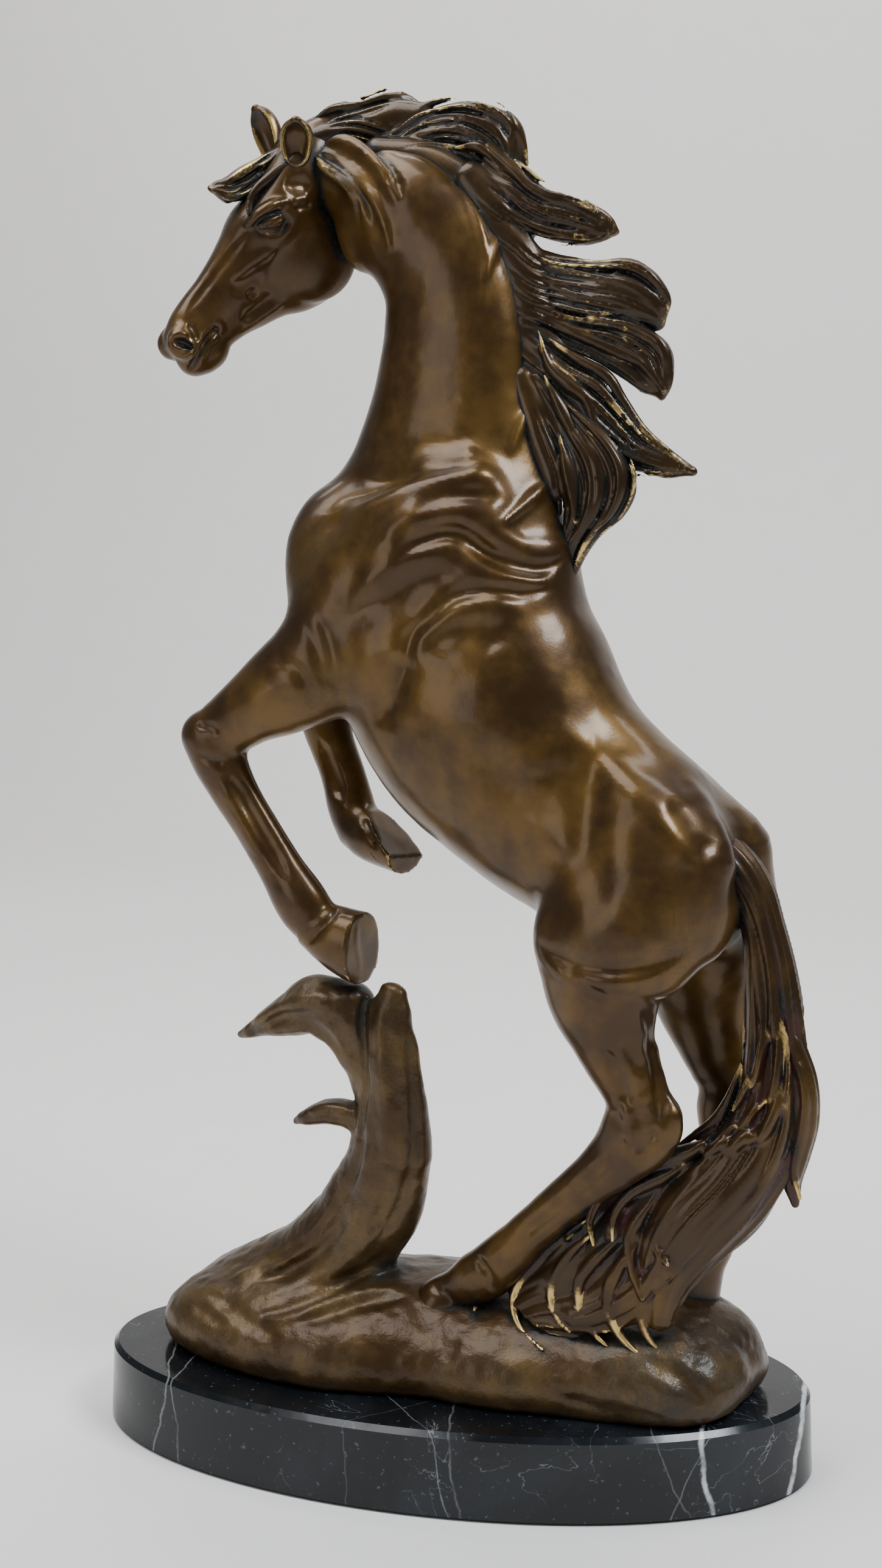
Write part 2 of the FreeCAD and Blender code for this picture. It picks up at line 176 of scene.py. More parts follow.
class Clay:
    """A block of signed distances that forms are added to and carved from."""

    EMPTY = 50.0
    # a stroke fades out at this many times its width; a flat one reaches this deep under its line
    STROKE_REACH = 2.2
    FLAT_REACH = 3.2
    # how far out from a lock's middle a comb starts
    COMB_START = 14.0

    def __init__(self, low, high, grain):
        self.grain = grain
        self.start = np.floor(np.array(low) / grain).astype(int)
        self.shape = np.ceil(np.array(high) / grain).astype(int) - self.start + 1
        self.distance = np.full(self.shape, self.EMPTY, np.float32)
        self.scale = vdb.createLinearTransform(voxelSize=grain)
        self.rubbed = []

    def window(self, low, high, margin):
        """The part of the block around a box, as slices, and its first index."""
        first = np.floor(np.array(low) / self.grain - margin).astype(int)
        last = np.ceil(np.array(high) / self.grain + margin).astype(int) + 1
        first = np.maximum(first, self.start)
        last = np.minimum(last, self.start + self.shape)
        if (last <= first).any():
            return None, None
        return tuple(slice(*pair) for pair in zip(first - self.start, last - self.start)), first

    def measure(self, mesh, reach):
        """Signed distances to a closed mesh, in a window of the block."""
        points, quads, fans = mesh
        band = max(reach, 3.0) / self.grain + 3
        part, first = self.window(points.min(0), points.max(0), band)
        if part is None:
            return None, None
        grid = vdb.FloatGrid.createLevelSetFromPolygons(
            np.ascontiguousarray(points, np.float32),
            np.ascontiguousarray(fans, np.uint32),
            np.ascontiguousarray(quads, np.uint32),
            self.scale,
            float(band),
        )
        found = np.empty(self.distance[part].shape, np.float32)
        grid.copyToArray(found, tuple(int(x) for x in first))
        return found, part

    def places(self, part):
        """The places of the window's grains, as three arrays that broadcast."""
        axes = []
        for axis, piece in enumerate(part):
            line = (np.arange(piece.start, piece.stop) + self.start[axis]) * self.grain
            shape = [1, 1, 1]
            shape[axis] = len(line)
            axes.append(line.reshape(shape).astype(np.float32))
        return axes

    def add(self, mesh, blend=4.0, flat=None):
        """Union with a soft seam.  flat = (point, normal) slices the form first."""
        found, part = self.measure(mesh, blend)
        if part is None:
            return
        if flat is not None:
            point, normal = np.array(flat[0], float), unit(flat[1])
            x, y, z = self.places(part)
            beyond = (x - point[0]) * normal[0] + (y - point[1]) * normal[1]
            found = np.maximum(found, beyond + (z - point[2]) * normal[2])
        here = self.distance[part]
        near = np.clip(blend - np.abs(here - found), 0, None) / blend
        self.distance[part] = np.minimum(here, found) - near**3 * (blend / 6)

    def carve(self, mesh, blend=2.0):
        """Take a form away, with a soft edge."""
        found, part = self.measure(mesh, blend)
        if part is None:
            return
        here = self.distance[part]
        near = np.clip(blend - np.abs(here + found), 0, None) / blend
        self.distance[part] = np.maximum(here, -found) + near**3 * (blend / 6)

    def soften(self, passes):
        """Evens out small steps in the surface."""
        for _ in range(passes):
            for axis in range(3):
                field = np.moveaxis(self.distance, axis, 0)
                field[1:-1] = 0.25 * field[:-2] + 0.5 * field[1:-1] + 0.25 * field[2:]

    def roughen(self, size, height, seed):
        """Gives the surface soft lumps of about a size, as a hand-worked wax has."""
        counts = np.ceil(np.array(self.shape) * self.grain / size).astype(int) + 2
        lumps = np.random.default_rng(seed).normal(size=counts).astype(np.float32)
        for axis in range(3):
            place = np.arange(self.shape[axis]) * self.grain / size
            first = place.astype(int)
            share = place - first
            share = (share * share * (3 - 2 * share)).astype(np.float32)[:, None, None]
            rows = np.moveaxis(lumps, axis, 0)
            lumps = np.moveaxis(rows[first] * (1 - share) + rows[first + 1] * share, 0, axis)
        self.distance += height * lumps

    def stroke(self, points, width, height, taper=0.25, flat=False):
        """Raise (or with a height below nothing, press in) the surface along a line.

        A flat stroke is measured in side view, so that it needn't lie exactly on the skin.
        """
        line = smooth_path(points, 1.5).astype(np.float32)
        reach = self.STROKE_REACH * width
        margin = np.array([reach, self.FLAT_REACH if flat else reach, reach])
        part, _ = self.window(line.min(0) - margin, line.max(0) + margin, 0)
        if part is None:
            return
        here = self.distance[part]
        x, y, z = self.places(part)
        nearest = np.full(here.shape, 1e9, np.float32)
        share = np.zeros(here.shape, np.float32)
        count = len(line) - 1
        for number in range(count):
            a, b = line[number], line[number + 1]
            box, _ = self.window(np.minimum(a, b) - margin, np.maximum(a, b) + margin, 0)
            if box is None:
                continue
            box = tuple(slice(own.start - all_of.start, own.stop - all_of.start)
                        for own, all_of in zip(box, part))
            run = (b - a) * ([1, 0, 1] if flat else 1)
            dx = x[box[0]] - a[0]
            dy = (y[:, box[1]] - a[1]) * (0 if flat else 1)
            dz = z[:, :, box[2]] - a[2]
            t = np.clip((dx * run[0] + dy * run[1] + dz * run[2]) / max(run @ run, 1e-9), 0, 1)
            gap = (dx - t * run[0]) ** 2 + (dy - t * run[1]) ** 2 + (dz - t * run[2]) ** 2
            closer = gap < nearest[box]
            nearest[box][closer] = gap[closer]
            share[box][closer] = (number + t[closer]) / count
        touched = (nearest < reach**2) & (np.abs(here) < 4.0 + abs(height))
        length = np.linalg.norm(np.diff(line, axis=0), axis=1).sum()
        fade = min(0.5, max(taper, 1.3 * width / length))
        ends = np.clip(np.minimum(share[touched], 1 - share[touched]) / fade, 0, 1)
        ends = ends * ends * (3 - 2 * ends)
        across = np.exp(-nearest[touched] / (width * (0.35 + 0.65 * ends)) ** 2)
        here[touched] -= height * ends * across

    def sample(self, points):
        """Distances at places, by the nearest grain; places outside count as empty."""
        index = np.round(np.asarray(points) / self.grain).astype(int) - self.start
        inside = ((index >= 0) & (index < self.shape)).all(-1)
        index = np.clip(index, 0, self.shape - 1)
        found = self.distance[index[..., 0], index[..., 1], index[..., 2]]
        return np.where(inside, found, self.EMPTY)

    def hit(self, origins, directions, reach):
        """The first place on each ray where the clay begins."""
        travel = np.arange(0, reach, self.grain)
        spots = origins[:, None] + directions[:, None] * travel[None, :, None]
        inside = self.sample(spots) < 0
        met = inside.any(1)
        return (origins + directions * travel[inside.argmax(1)][:, None])[met]

    def seen(self, marks, plane=0.0, allow=10.0):
        """Marks (forward, up) on an upright plane, moved along the line of sight to the skin."""
        marks = smooth_path([(s, plane, z) for s, z in marks], 2.0)
        sight = unit(marks - EYE)
        return evened(self.hit(marks - sight * SIGHT_START, sight, SIGHT_START + allow), 2)

    def press(self, rows, plane=0.0, allow=10.0, taper=0.25, wider=1.0, higher=1.0):
        """A stroke for each row: marks as seen from the eye, width, height."""
        for marks, width, height in rows:
            self.stroke(self.seen(marks, plane, allow), width * wider, height * higher, taper)

    def settled(self, marks, plane, reach):
        """Marks seen on the skin, with their distances from the eye evened out."""
        marks = smooth_path([(s, plane, z) for s, z in marks], 1.5)
        sight = unit(marks - EYE)
        travel = np.arange(-SIGHT_START, reach, self.grain)
        inside = self.sample(marks[:, None] + sight[:, None] * travel[None, :, None]) < 0
        met = inside.any(1)
        share = np.linspace(0, 1, len(marks))
        curve = np.polyfit(share[met], travel[inside.argmax(1)][met], 2)
        return marks + sight * np.polyval(curve, share)[:, None]

    def comb(self, upper, lower, count, rng, width=0.55, depth=0.75):
        """Fine grooves along a lock, between its edges and on both of its faces."""
        side = np.asarray(SIDEWAYS, float)
        for face in (1, -1):
            for number in range(count):
                place = (number + rng.uniform(0.15, 0.85)) / count
                path = upper * (1 - place) + lower * place
                first = int(len(path) * rng.uniform(0, 0.3))
                last = int(len(path) * rng.uniform(0.78, 1.0))
                path = path[first:last]
                out = np.tile(side * face, (len(path), 1))
                inward = self.COMB_START - np.arange(0, self.COMB_START, self.grain)
                spots = path[:, None] + out[:, None] * inward[None, :, None]
                inside = self.sample(spots) < 0
                met = inside.any(1)
                if met.sum() < 8:
                    continue
                share = np.linspace(0, 1, len(path))
                level = np.polyfit(share[met], inward[inside.argmax(1)][met], 3)
                path = path + out * np.polyval(level, share)[:, None]
                self.stroke(path, width, -depth * rng.uniform(0.6, 1.2), 0.3, flat=True)

    def mesh(self):
        """The surface, as points and four-sided faces."""
        grid = vdb.FloatGrid(self.EMPTY)
        grid.transform = self.scale
        grid.copyFromArray(self.distance, tuple(int(x) for x in self.start))
        points, quads = grid.convertToQuads(0.0)
        return points.astype(float), quads.astype(int)


# ---- the horse's body: (forward, left, up, half width, half depth) in millimetres ----
TRUNK = [
    (-69, 0, 171, 13, 12), (-61, 0, 177, 22, 22.4), (-49, 0, 184.6, 27, 29.4),
    (-33, 0, 195, 26, 32), (-18, 0, 206, 28, 35), (-3, 0, 222, 30, 40),
    (8, 0, 239, 29.5, 41), (14, 0, 256, 27, 42), (16, 0, 273, 23, 42),
    (15, 0, 288, 18.5, 36.5), (14, 0, 303, 15, 29.5), (13, 0, 320, 13, 24.5),
    (12.5, 0, 337, 12.3, 22), (16, 0, 352, 12, 19.5), (26, 2, 367, 11, 17), (36, 3, 376, 8.5, 13),
]
NECK_CREST = [
    (52, 4, 385, 4, 6), (42, 3, 381, 6, 8), (29, 2, 376, 8, 10), (16, 0, 366, 9, 10.5),
    (7, 0, 352, 8.5, 11), (2, 0, 335, 8, 10), (0, 0, 316, 8, 9),
]
THROAT = [(22, 2, 372, 9, 13), (35, 2, 367, 6, 12), (44, 3, 364, 4.6, 10)]
NAPE = [(28, 2, 371, 8.6, 12), (40, 3.4, 378, 7, 12), (51, 4, 384, 6.4, 10)]
JAW_STRAND = [
    (54, 11.6, 389, 0.8, 0.8), (49.5, 12.4, 384, 1.6, 1.6), (43, 12.8, 379.4, 1.9, 1.9),
    (37.4, 12.2, 373, 1.7, 1.7), (34, 11.4, 366.4, 1.2, 1.2), (33, 11, 360.6, 0.5, 0.5),
]
LEFT_FOREARM = [
    (26, 10, 256, 10, 20), (44, 20, 240, 11, 17), (58, 23, 231, 9.5, 14),
    (68.5, 24, 225, 8.3, 11), (77, 24, 219.5, 7.5, 9.5),
]
LEFT_CANNON = [
    (82.5, 24, 217, 7.6, 8.8), (80.5, 24, 210, 7.4, 9), (76, 23.5, 201, 6, 7.8),
    (68.5, 23, 190, 5.3, 7.2), (59.5, 22.5, 177, 5.5, 7.5), (52.5, 22, 167, 6.6, 8.6),
    (47, 21, 160, 6.2, 7.6),
]
LEFT_HOOF = [(50, 21, 161, 6, 7), (43, 20.5, 158, 7.8, 9), (35, 20, 155, 8.6, 10.6),
             (25, 20, 153, 9.2, 11.6)]
LEFT_SOLE = ((32.5, 20, 154), (-1, 0.1, -0.05))
RIGHT_FOREARM = [
    (26, -10, 256, 10, 20), (42, -18, 246, 10.5, 16), (56, -20, 238, 9, 13),
    (66, -19, 230, 8, 10), (70, -19, 226, 7.5, 9),
]
RIGHT_CANNON = [
    (71, -19, 229, 7.8, 9), (69, -19, 222, 7.6, 9), (66, -18, 213, 6.4, 7.8),
    (61, -17, 202, 5.8, 7.6), (57, -15.5, 192, 6.6, 8), (53, -14, 185, 6.8, 7.6),
]
RIGHT_HOOF = [(55, -14.5, 188, 6, 7), (49, -13, 184, 7.8, 8), (42, -11, 182, 8.2, 7.8),
              (33, -9, 180.6, 8.6, 8)]
RIGHT_SOLE = ((37.5, -10, 182.5), (-0.68, 0.08, 0.7))
LEFT_THIGH = [
    (-58, 12, 190, 13, 21), (-50, 18, 168, 14, 23), (-45, 19.5, 151, 11.5, 18.5),
    (-48, 19.5, 136, 8.6, 12.5), (-54, 19, 122, 6.4, 9),
]
LEFT_HIND_CANNON = [
    (-58, 18, 118, 6.2, 9), (-55, 18, 110, 6.8, 11), (-47, 17.5, 100, 5.6, 8.4),
    (-36, 17, 89.5, 5.0, 6.8), (-22, 16, 75.5, 5.0, 6.6), (-9, 15, 61.5, 6.2, 7.8),
    (-3, 14.6, 57, 6.4, 7.6), (3, 14.4, 52.6, 5.6, 6.2), (8, 14, 48, 7.6, 7.6), (13, 14, 41, 9, 9.6),
    (15, 14, 36, 9, 10),
]
RIGHT_THIGH = [
    (-60, -12, 188, 14, 22), (-59, -17, 164, 14, 24), (-60, -19, 147, 11.5, 18),
    (-62, -20, 134, 8.6, 13.5), (-66, -19, 121, 6.4, 9),
]
RIGHT_HIND_CANNON = [
    (-71, -18, 117, 6.2, 8.5), (-70, -18, 109, 6.8, 10.5), (-69, -18, 97, 5.6, 8),
    (-67, -18, 83, 5.0, 7.2), (-64, -18, 70, 6.4, 8.2), (-61, -18, 61, 6.8, 7.8),
    (-58, -18, 50, 9, 9.5), (-57, -18, 40, 9, 10),
]


def add_trunk(clay):
    """Barrel, chest, shoulders and rump."""
    clay.add(limb(TRUNK, power=2.15, end_length=0.8, sides=96, step=1.5))
    for side in (1, -1):
        clay.add(ball((47, side * 10, 268), (14.5, 14, 22)), 16)
        clay.add(ball((48, side * 13, 252), (9, 9, 11)), 12)
        clay.add(limb([(-4, side * 13, 286, 8, 14), (16, side * 19, 276, 9, 15),
                       (34, side * 21, 262, 9, 14), (42, side * 21, 250, 8, 12)]), 8)
        clay.add(ball((24, side * 23, 243), (16, 7, 13), (0.5, 0, -0.85)), 8)
        clay.add(ball((-56, side * 15, 190), (24, 12, 16), (0.6, 0, 0.8)), 8)
        clay.add(ball((-66, side * 12, 175), (17, 11, 11), (0.4, 0, 0.9)), 8)
        clay.carve(ball((-20, side * 34, 205), (15, 6, 9), (0.5, 0, 0.86)), 8)
    clay.add(limb(NECK_CREST), 8)
    clay.add(limb(THROAT), 8)
    clay.add(limb(NAPE), 6)
    clay.add(limb(JAW_STRAND, sides=24, step=1.0), 2.5)


def add_legs(clay):
    """Four legs: muscle above, tendon and bone below, and hooves with flat soles."""
    clay.add(limb(LEFT_FOREARM), 9)
    clay.add(limb(RIGHT_FOREARM), 9)
    clay.add(limb(LEFT_CANNON), 4)
    clay.add(limb(RIGHT_CANNON), 4)
    clay.add(limb(LEFT_HOOF, power=2.3, end_length=0), 1.5, LEFT_SOLE)
    clay.add(limb(RIGHT_HOOF, power=2.3, end_length=0), 1.5, RIGHT_SOLE)
    clay.add(limb(LEFT_THIGH), 10)
    clay.add(limb(RIGHT_THIGH), 10)
    clay.add(limb(LEFT_HIND_CANNON), 5)
    clay.add(limb(RIGHT_HIND_CANNON), 5)
    # stifles, hocks and knees
    clay.add(ball((-33, 21, 163), (11, 7, 8), (0.2, 0, 1)), 7)
    clay.add(ball((-48, -20, 160), (11, 7, 8), (0.2, 0, 1)), 7)
    for heel, top in (((-62, 18, 112), (-58, 18.5, 134)), ((-76, -18, 108), (-71, -19, 130))):
        clay.add(ball(heel, (8, 4.4, 5), (-0.4, 0, 1)), 4)
        clay.add(limb([(*heel, 3.2, 3.4), (*top, 2.6, 3.2)]), 3)
    for knee, side in ((84.5, 24), (72.5, -19)):
        height = 216 if side > 0 else 226
        clay.add(ball((knee, side, height), (7.5, 7.4, 8), (0.4, 0, -0.9)), 4)


def press_nape(clay):
    """Strands of hair that lie on the neck behind the ear."""
    clay.press([
        ([(54, 388.6), (50.7, 389.6), (41.9, 388.8), (33, 383.1), (26.3, 374.8), (23, 368)], 1.8, 1.1),
        ([(52, 392.6), (43, 392), (34, 387.4), (26.6, 380), (22, 371)], 1.3, -1.5),
        ([(52, 387), (44, 384.6), (38, 379.6), (33.6, 372), (31.6, 363)], 1.4, -1.5),
        ([(49, 384), (42, 379), (38, 372.6), (35.6, 364)], 0.8, -0.9),
        ([(46, 386.6), (39, 383), (33.4, 376.4), (30, 368)], 0.8, 0.7),
    ], plane=12.0)


def press_folds(clay):
    """The skin folds over the near shoulder, as seen from the viewer's side."""
    raised = [
        ([(32, 297.5), (20, 299.5), (10, 300), (2, 299)], 3.0, 0.8),
        ([(60, 282), (50, 284), (41, 285), (32, 288), (23, 292), (14, 293.5), (3, 294), (-5, 292)],
         3.8, 1.9),
        ([(44, 266), (39.5, 271.5), (34, 275.5), (29.5, 280), (23, 282.8), (18.5, 283.8),
          (10.5, 283), (5, 280.5), (-1, 277), (-8, 274), (-16, 273)], 4.0, 2.6),
        ([(49, 252), (46.5, 256), (42, 261), (35.5, 266), (29.5, 269.5), (21.5, 271.5),
          (14, 271.2), (8.5, 268), (2, 265.3), (-7, 263.5), (-15.5, 263), (-23, 265)], 4.0, 2.6),
        ([(27, 242), (21.5, 249), (17, 252), (9.5, 254.5), (2, 255.8), (-5.5, 255.8), (-12, 254)],
         4.2, 1.5),
    ]
    pressed = [
        ([(44, 294), (32, 293.5), (21.5, 295.5), (10.5, 297), (0, 297)], 2.4, 1.5),
        ([(28, 282.5), (20, 286.5), (10, 288.5), (0.5, 288), (-5, 286)], 2.2, 1.4),
        ([(35, 266), (32.5, 269), (28, 273), (21.5, 275.8), (14, 277.6), (8.5, 276.6),
          (3.5, 273), (-1, 269.8), (-7, 267.7), (-13.5, 266.8), (-20, 268), (-26, 272)], 2.0, 2.9),
        ([(31, 230), (30, 236), (28.5, 243), (26.5, 247.5), (21.5, 252), (16, 256.5),
          (10.5, 259.3), (3, 260.8), (-5.5, 260.4), (-14, 260.2), (-22, 262)], 1.8, 2.5),
        ([(27, 243), (30, 236), (34, 227), (40, 219)], 3.4, 2.6),
        ([(23, 240), (18.5, 245), (12.5, 248), (5.5, 248.5), (-2, 247), (-8, 243)], 4.0, 1.5),
        ([(65, 252), (61.6, 246), (59.4, 240), (58, 234), (57.4, 228)], 1.5, 0.5),
        ([(60, 254), (56.6, 247), (54.4, 240), (53.2, 233), (53, 226)], 1.7, 0.6),
        ([(80, 238), (75, 238.6), (69, 236.6), (64.4, 232.4), (62, 227), (61, 221)], 1.7, 0.9),
    ]
    clay.press(raised, wider=1.15)
    clay.press(pressed, wider=1.3, higher=-0.9)


def press_haunch(clay):
    """Flank crease, hip ridge, thigh fold and gaskin grooves on the near side."""
    clay.press([
        ([(-30, 214), (-36, 211), (-43, 206), (-51, 199), (-59, 190), (-66, 180)], 5.5, 1.5),
        ([(-17, 222), (-23, 218.6), (-28, 216), (-34, 214)], 4.0, 0.8),
        ([(-24.6, 208), (-24, 199), (-23.6, 190), (-25, 180)], 5.0, 0.8),
        ([(-60, 209), (-67, 201), (-73, 190), (-76, 181)], 4.4, 1.0),
        ([(-15, 153.5), (-24, 148.6), (-35, 147.2), (-46, 148.4), (-57, 152.6)], 3.0, 1.1),
    ])
    clay.press([
        ([(-29, 219), (-30, 210), (-30.6, 200), (-31, 190), (-32, 181), (-35, 172), (-40, 164)], 6.4, 1.3),
        ([(-20, 214), (-21, 205), (-20, 196), (-19, 187)], 6.0, 0.7),
        ([(-56, 203), (-63, 194), (-69, 184)], 4.4, 1.2),
        ([(-14, 158.5), (-20, 154.4), (-27, 151.8), (-36, 151), (-46, 152), (-56, 156),
          (-65, 160.6)], 2.2, 1.7),
        ([(-47, 142), (-51.5, 136), (-54.5, 128), (-56, 119)], 1.8, 1.6),
        ([(-42, 132), (-46, 126), (-50, 121)], 1.8, 0.9),
    ], higher=-1.0)


def press_legs(clay):
    """Tendon grooves and the rims of the hooves."""
    clay.press([
        ([(79, 206), (71, 194), (62, 181), (56, 172)], 1.7, -1.7),
        ([(83, 205), (75, 192), (66, 178)], 2.0, 0.7),
        ([(91, 219), (85, 219), (81, 217)], 1.4, -1.0),
        ([(91, 210.5), (85, 208.5), (78, 208)], 1.4, -0.9),
        ([(51, 153.5), (45, 160), (38.5, 166.5)], 1.1, -1.3),
        ([(33, 164), (33.5, 155), (31.8, 144)], 0.8, 0.5),
    ], plane=22.0)
    clay.press([
        ([(69, 214), (64, 203), (59, 192)], 1.9, -2.0),
        ([(53, 189), (49.5, 184), (47, 178)], 1.1, -1.2),
    ], plane=-15.0)
    clay.press([
        ([(-52, 106), (-40, 94), (-26, 80), (-14, 68)], 1.8, -1.3),
        ([(-47, 104), (-36, 92), (-22, 78)], 1.6, 0.6),
        ([(-56, 142), (-59.4, 131), (-61.4, 121), (-61.6, 112)], 2.0, -2.4),
        ([(-44, 134), (-48.6, 125), (-53, 116)], 2.2, -1.8),
        ([(-50, 118), (-53, 112), (-52, 105)], 1.9, 1.6),
        ([(-61, 113), (-58, 108), (-53, 103)], 1.2, -1.4),
        ([(-66, 120), (-67, 112), (-64, 106)], 1.6, 0.8),
        ([(-4, 66), (-9, 60), (-12, 54)], 1.3, -1.3),
        ([(11, 54.6), (4, 50.4), (-3, 47)], 1.7, -0.8),
        ([(-30, 156), (-38, 150), (-47, 147)], 2.0, -0.7),
    ], plane=18.0)


# Strands that lie on the neck and shoulder: marks on the plane through the mane, root, tip.
NECK_STRANDS = [
    ([(62, 394), (57, 395.5), (51, 394.5), (44.5, 390.5), (39.5, 385.5), (36, 382)], 2.4, 0.8),
    ([(60, 393), (54, 389), (48, 384), (43, 378), (39, 371), (37, 363)], 1.6, 0.5),
    ([(13, 377), (9, 370.5), (6.4, 364), (4.8, 357), (5, 349), (6, 343)], 1.9, 0.3),
    ([(5, 380), (2, 373), (1, 366), (2.5, 359), (4.8, 352)], 1.8, 0.3),
    ([(-9, 345), (-11.6, 337), (-12.4, 329), (-12, 321), (-9, 313.5), (-5, 305), (-3.4, 301)], 2.2, 0.3),
    ([(-11, 318), (-14.5, 307), (-17.8, 299), (-17.3, 294), (-13.5, 289.5), (-7.5, 285), (-1.5, 280.5)],
     2.2, 0.5),
]


def sculpt_body():
    """The whole body of the horse but for its head and hair."""
    clay = Clay((-100, -48, 36), (102, 50, 400), BODY_GRAIN)
    add_trunk(clay)
    clay.soften(3)
    add_legs(clay)
    press_nape(clay)
    press_folds(clay)
    press_haunch(clay)
    press_legs(clay)
    clay.roughen(8.0, 0.10, 7)
    clay.roughen(3.2, 0.035, 8)
    for marks, root, tip in NECK_STRANDS:
        line = clay.seen(marks, HAIR_PLANE, 20.0)
        rope(clay, evened(line, 6), root, tip, 2.2)
    return clay


# ---- the head's own frame: along the face, to the horse's left, out of the forehead ----
POLL = np.array([60.0, 5.0, 394.0])
MUZZLE = np.array([93.0, 39.0, 336.0])
HEAD_ROLL = math.radians(14.0)


def head_frame():
    """The three directions of the head's frame, in the horse's frame."""
    along = unit(MUZZLE - POLL)
    level = unit(along * [1, 1, 0])
    left = np.array([-level[1], level[0], 0]) * math.cos(HEAD_ROLL)
    left = left - [0, 0, math.sin(HEAD_ROLL)]
    left = unit(left - (left @ along) * along)
    return np.stack([along, left, np.cross(along, left)])


def from_head(points):
    """Places in the head's frame, moved to the horse's frame."""
    return np.asarray(points, float) @ head_frame() + POLL


def to_head(points):
    """Places in the horse's frame, moved to the head's frame."""
    return (np.asarray(points, float) - POLL) @ head_frame().T


SKULL = [
    (-8, 0, -8, 8, 9), (0, 0, -6.5, 10.5, 10.5), (8, 0, -5.5, 11.6, 10.4), (16, 0, -6.5, 12.2, 10.6),
    (24, 0, -7.4, 12.6, 10.2), (31, 0, -7.4, 11.6, 10.2), (38, 0, -8.2, 9.2, 9.1),
    (45, 0, -9, 7.4, 8.5), (53, 0, -9.4, 6.4, 7.9), (60, 0, -9.0, 5.9, 7.3), (65.4, 0, -8.9, 6.0, 6.7),
    (70, 0, -9.6, 5.6, 6.0),
]
JAW = [
    (16, 0, -20, 7.4, 12.5), (24, 0, -22.6, 7.8, 13.4), (32, 0, -21.4, 7.2, 12.7),
    (40, 0, -19.3, 6, 9.9), (48, 0, -18, 4.9, 7.7), (55, 0, -16.8, 4.3, 6), (61, 0, -16, 4.2, 5.5),
    (66, 0, -16.6, 4.4, 5.9), (70, 0, -17, 4, 4.6),
]


# How far out from the head's middle a search for its skin starts.
BESIDE_HEAD = 22.0


def on_side(clay, marks, side):
    """Marks (along, out) on one side of the head, moved sideways onto the skin."""
    marks = smooth_path([(along, side * BESIDE_HEAD, out) for along, out in marks], 1.0)
    inward = np.tile([0.0, -side, 0.0], (len(marks), 1))
    return evened(clay.hit(marks, inward, BESIDE_HEAD - 1), 2)


def press_side(clay, side, rows):
    """A stroke on one side of the head for each row: marks, width, height."""
    for marks, width, height in rows:
        clay.stroke(on_side(clay, marks, side), width, height)


def shape_muzzle(clay, side):
    """One nostril with its rim, the lips, and the corner of the mouth."""
    clay.add(ball((71, side * 4.6, -9.2), (5, 3, 5.2), (0.5, 0, -1)), 3)
    ring = [(72.6 + 2.5 * math.cos(t) - 1.0 * math.sin(t), side * (6.4 - 0.9 * math.cos(t)),
             -8.6 + 3.1 * math.sin(t) + 0.6 * math.cos(t), 0.85, 0.85)
            for t in np.linspace(-2.9, 2.5, 12)]
    clay.add(limb(ring, step=0.6), 1.2)
    clay.carve(limb([(73.4, side * 7.4, -6.4, 1.1, 1.0), (72.0, side * 7.2, -8.6, 1.5, 1.3),
                     (71.4, side * 7.2, -10.8, 1.0, 0.9)], step=0.6), 0.8)
    clay.stroke(on_side(clay, [(60.5, -14.2), (64, -13.5), (68, -13.4), (72, -14.4), (76, -16)], side),
                0.75, -2.0, 0.08)
    press_side(clay, side, [
        ([(62, -12.6), (67, -11.9), (71, -12.9), (75, -14.6)], 0.9, 0.6),
        ([(62, -15.8), (66, -15.2), (70, -15.7), (73, -17)], 0.9, 0.7),
        ([(59.6, -12), (60, -14.5), (61.2, -16.6)], 0.8, 0.5),
        ([(66, -6), (67.2, -9), (69, -12)], 1.0, -0.9),
    ])


def shape_eye(clay, side):
    """One eye: a lidded ball under a heavy brow."""
    clay.carve(ball((29.6, side * 12.4, -6.6), (5.4, 2.2, 3.6), (0.85, 0, 0.5)), 2.0)
    clay.add(ball((28.6, side * 10.9, -5.6), (4.4, 2.3, 3.0), (0.85, 0, 0.5)), 0.8)
    clay.add(limb([(33, side * 9.6, -1.2, 1.2, 1.2), (29.5, side * 11.4, -1.2, 1.9, 1.5),
                   (25, side * 12, -2.6, 2, 1.6), (21.5, side * 11.6, -5.0, 1.3, 1.2)]), 2.2)
    press_side(clay, side, [
        ([(33.4, -2.6), (30.4, -2.6), (27, -3.9), (24, -6.4)], 0.6, -1.2),
        ([(33, -4), (30, -7.2), (27, -8.6), (24.4, -8.2)], 0.6, -1.3),
        ([(33, -3.2), (30, -5), (27, -6.4), (24.6, -7.2)], 0.4, -0.4),
        ([(34, -5), (31, -8.8), (27.4, -10.6), (24, -10.2)], 1.0, 0.5),
        ([(20.6, -6.4), (17.6, -8), (15.4, -10)], 1.1, 1.0),
        ([(21.4, -8), (18.5, -9.6), (16, -12)], 1.0, -0.9),
        ([(19, -2), (15, -4.4), (12, -8)], 2.2, -1.5),
    ])


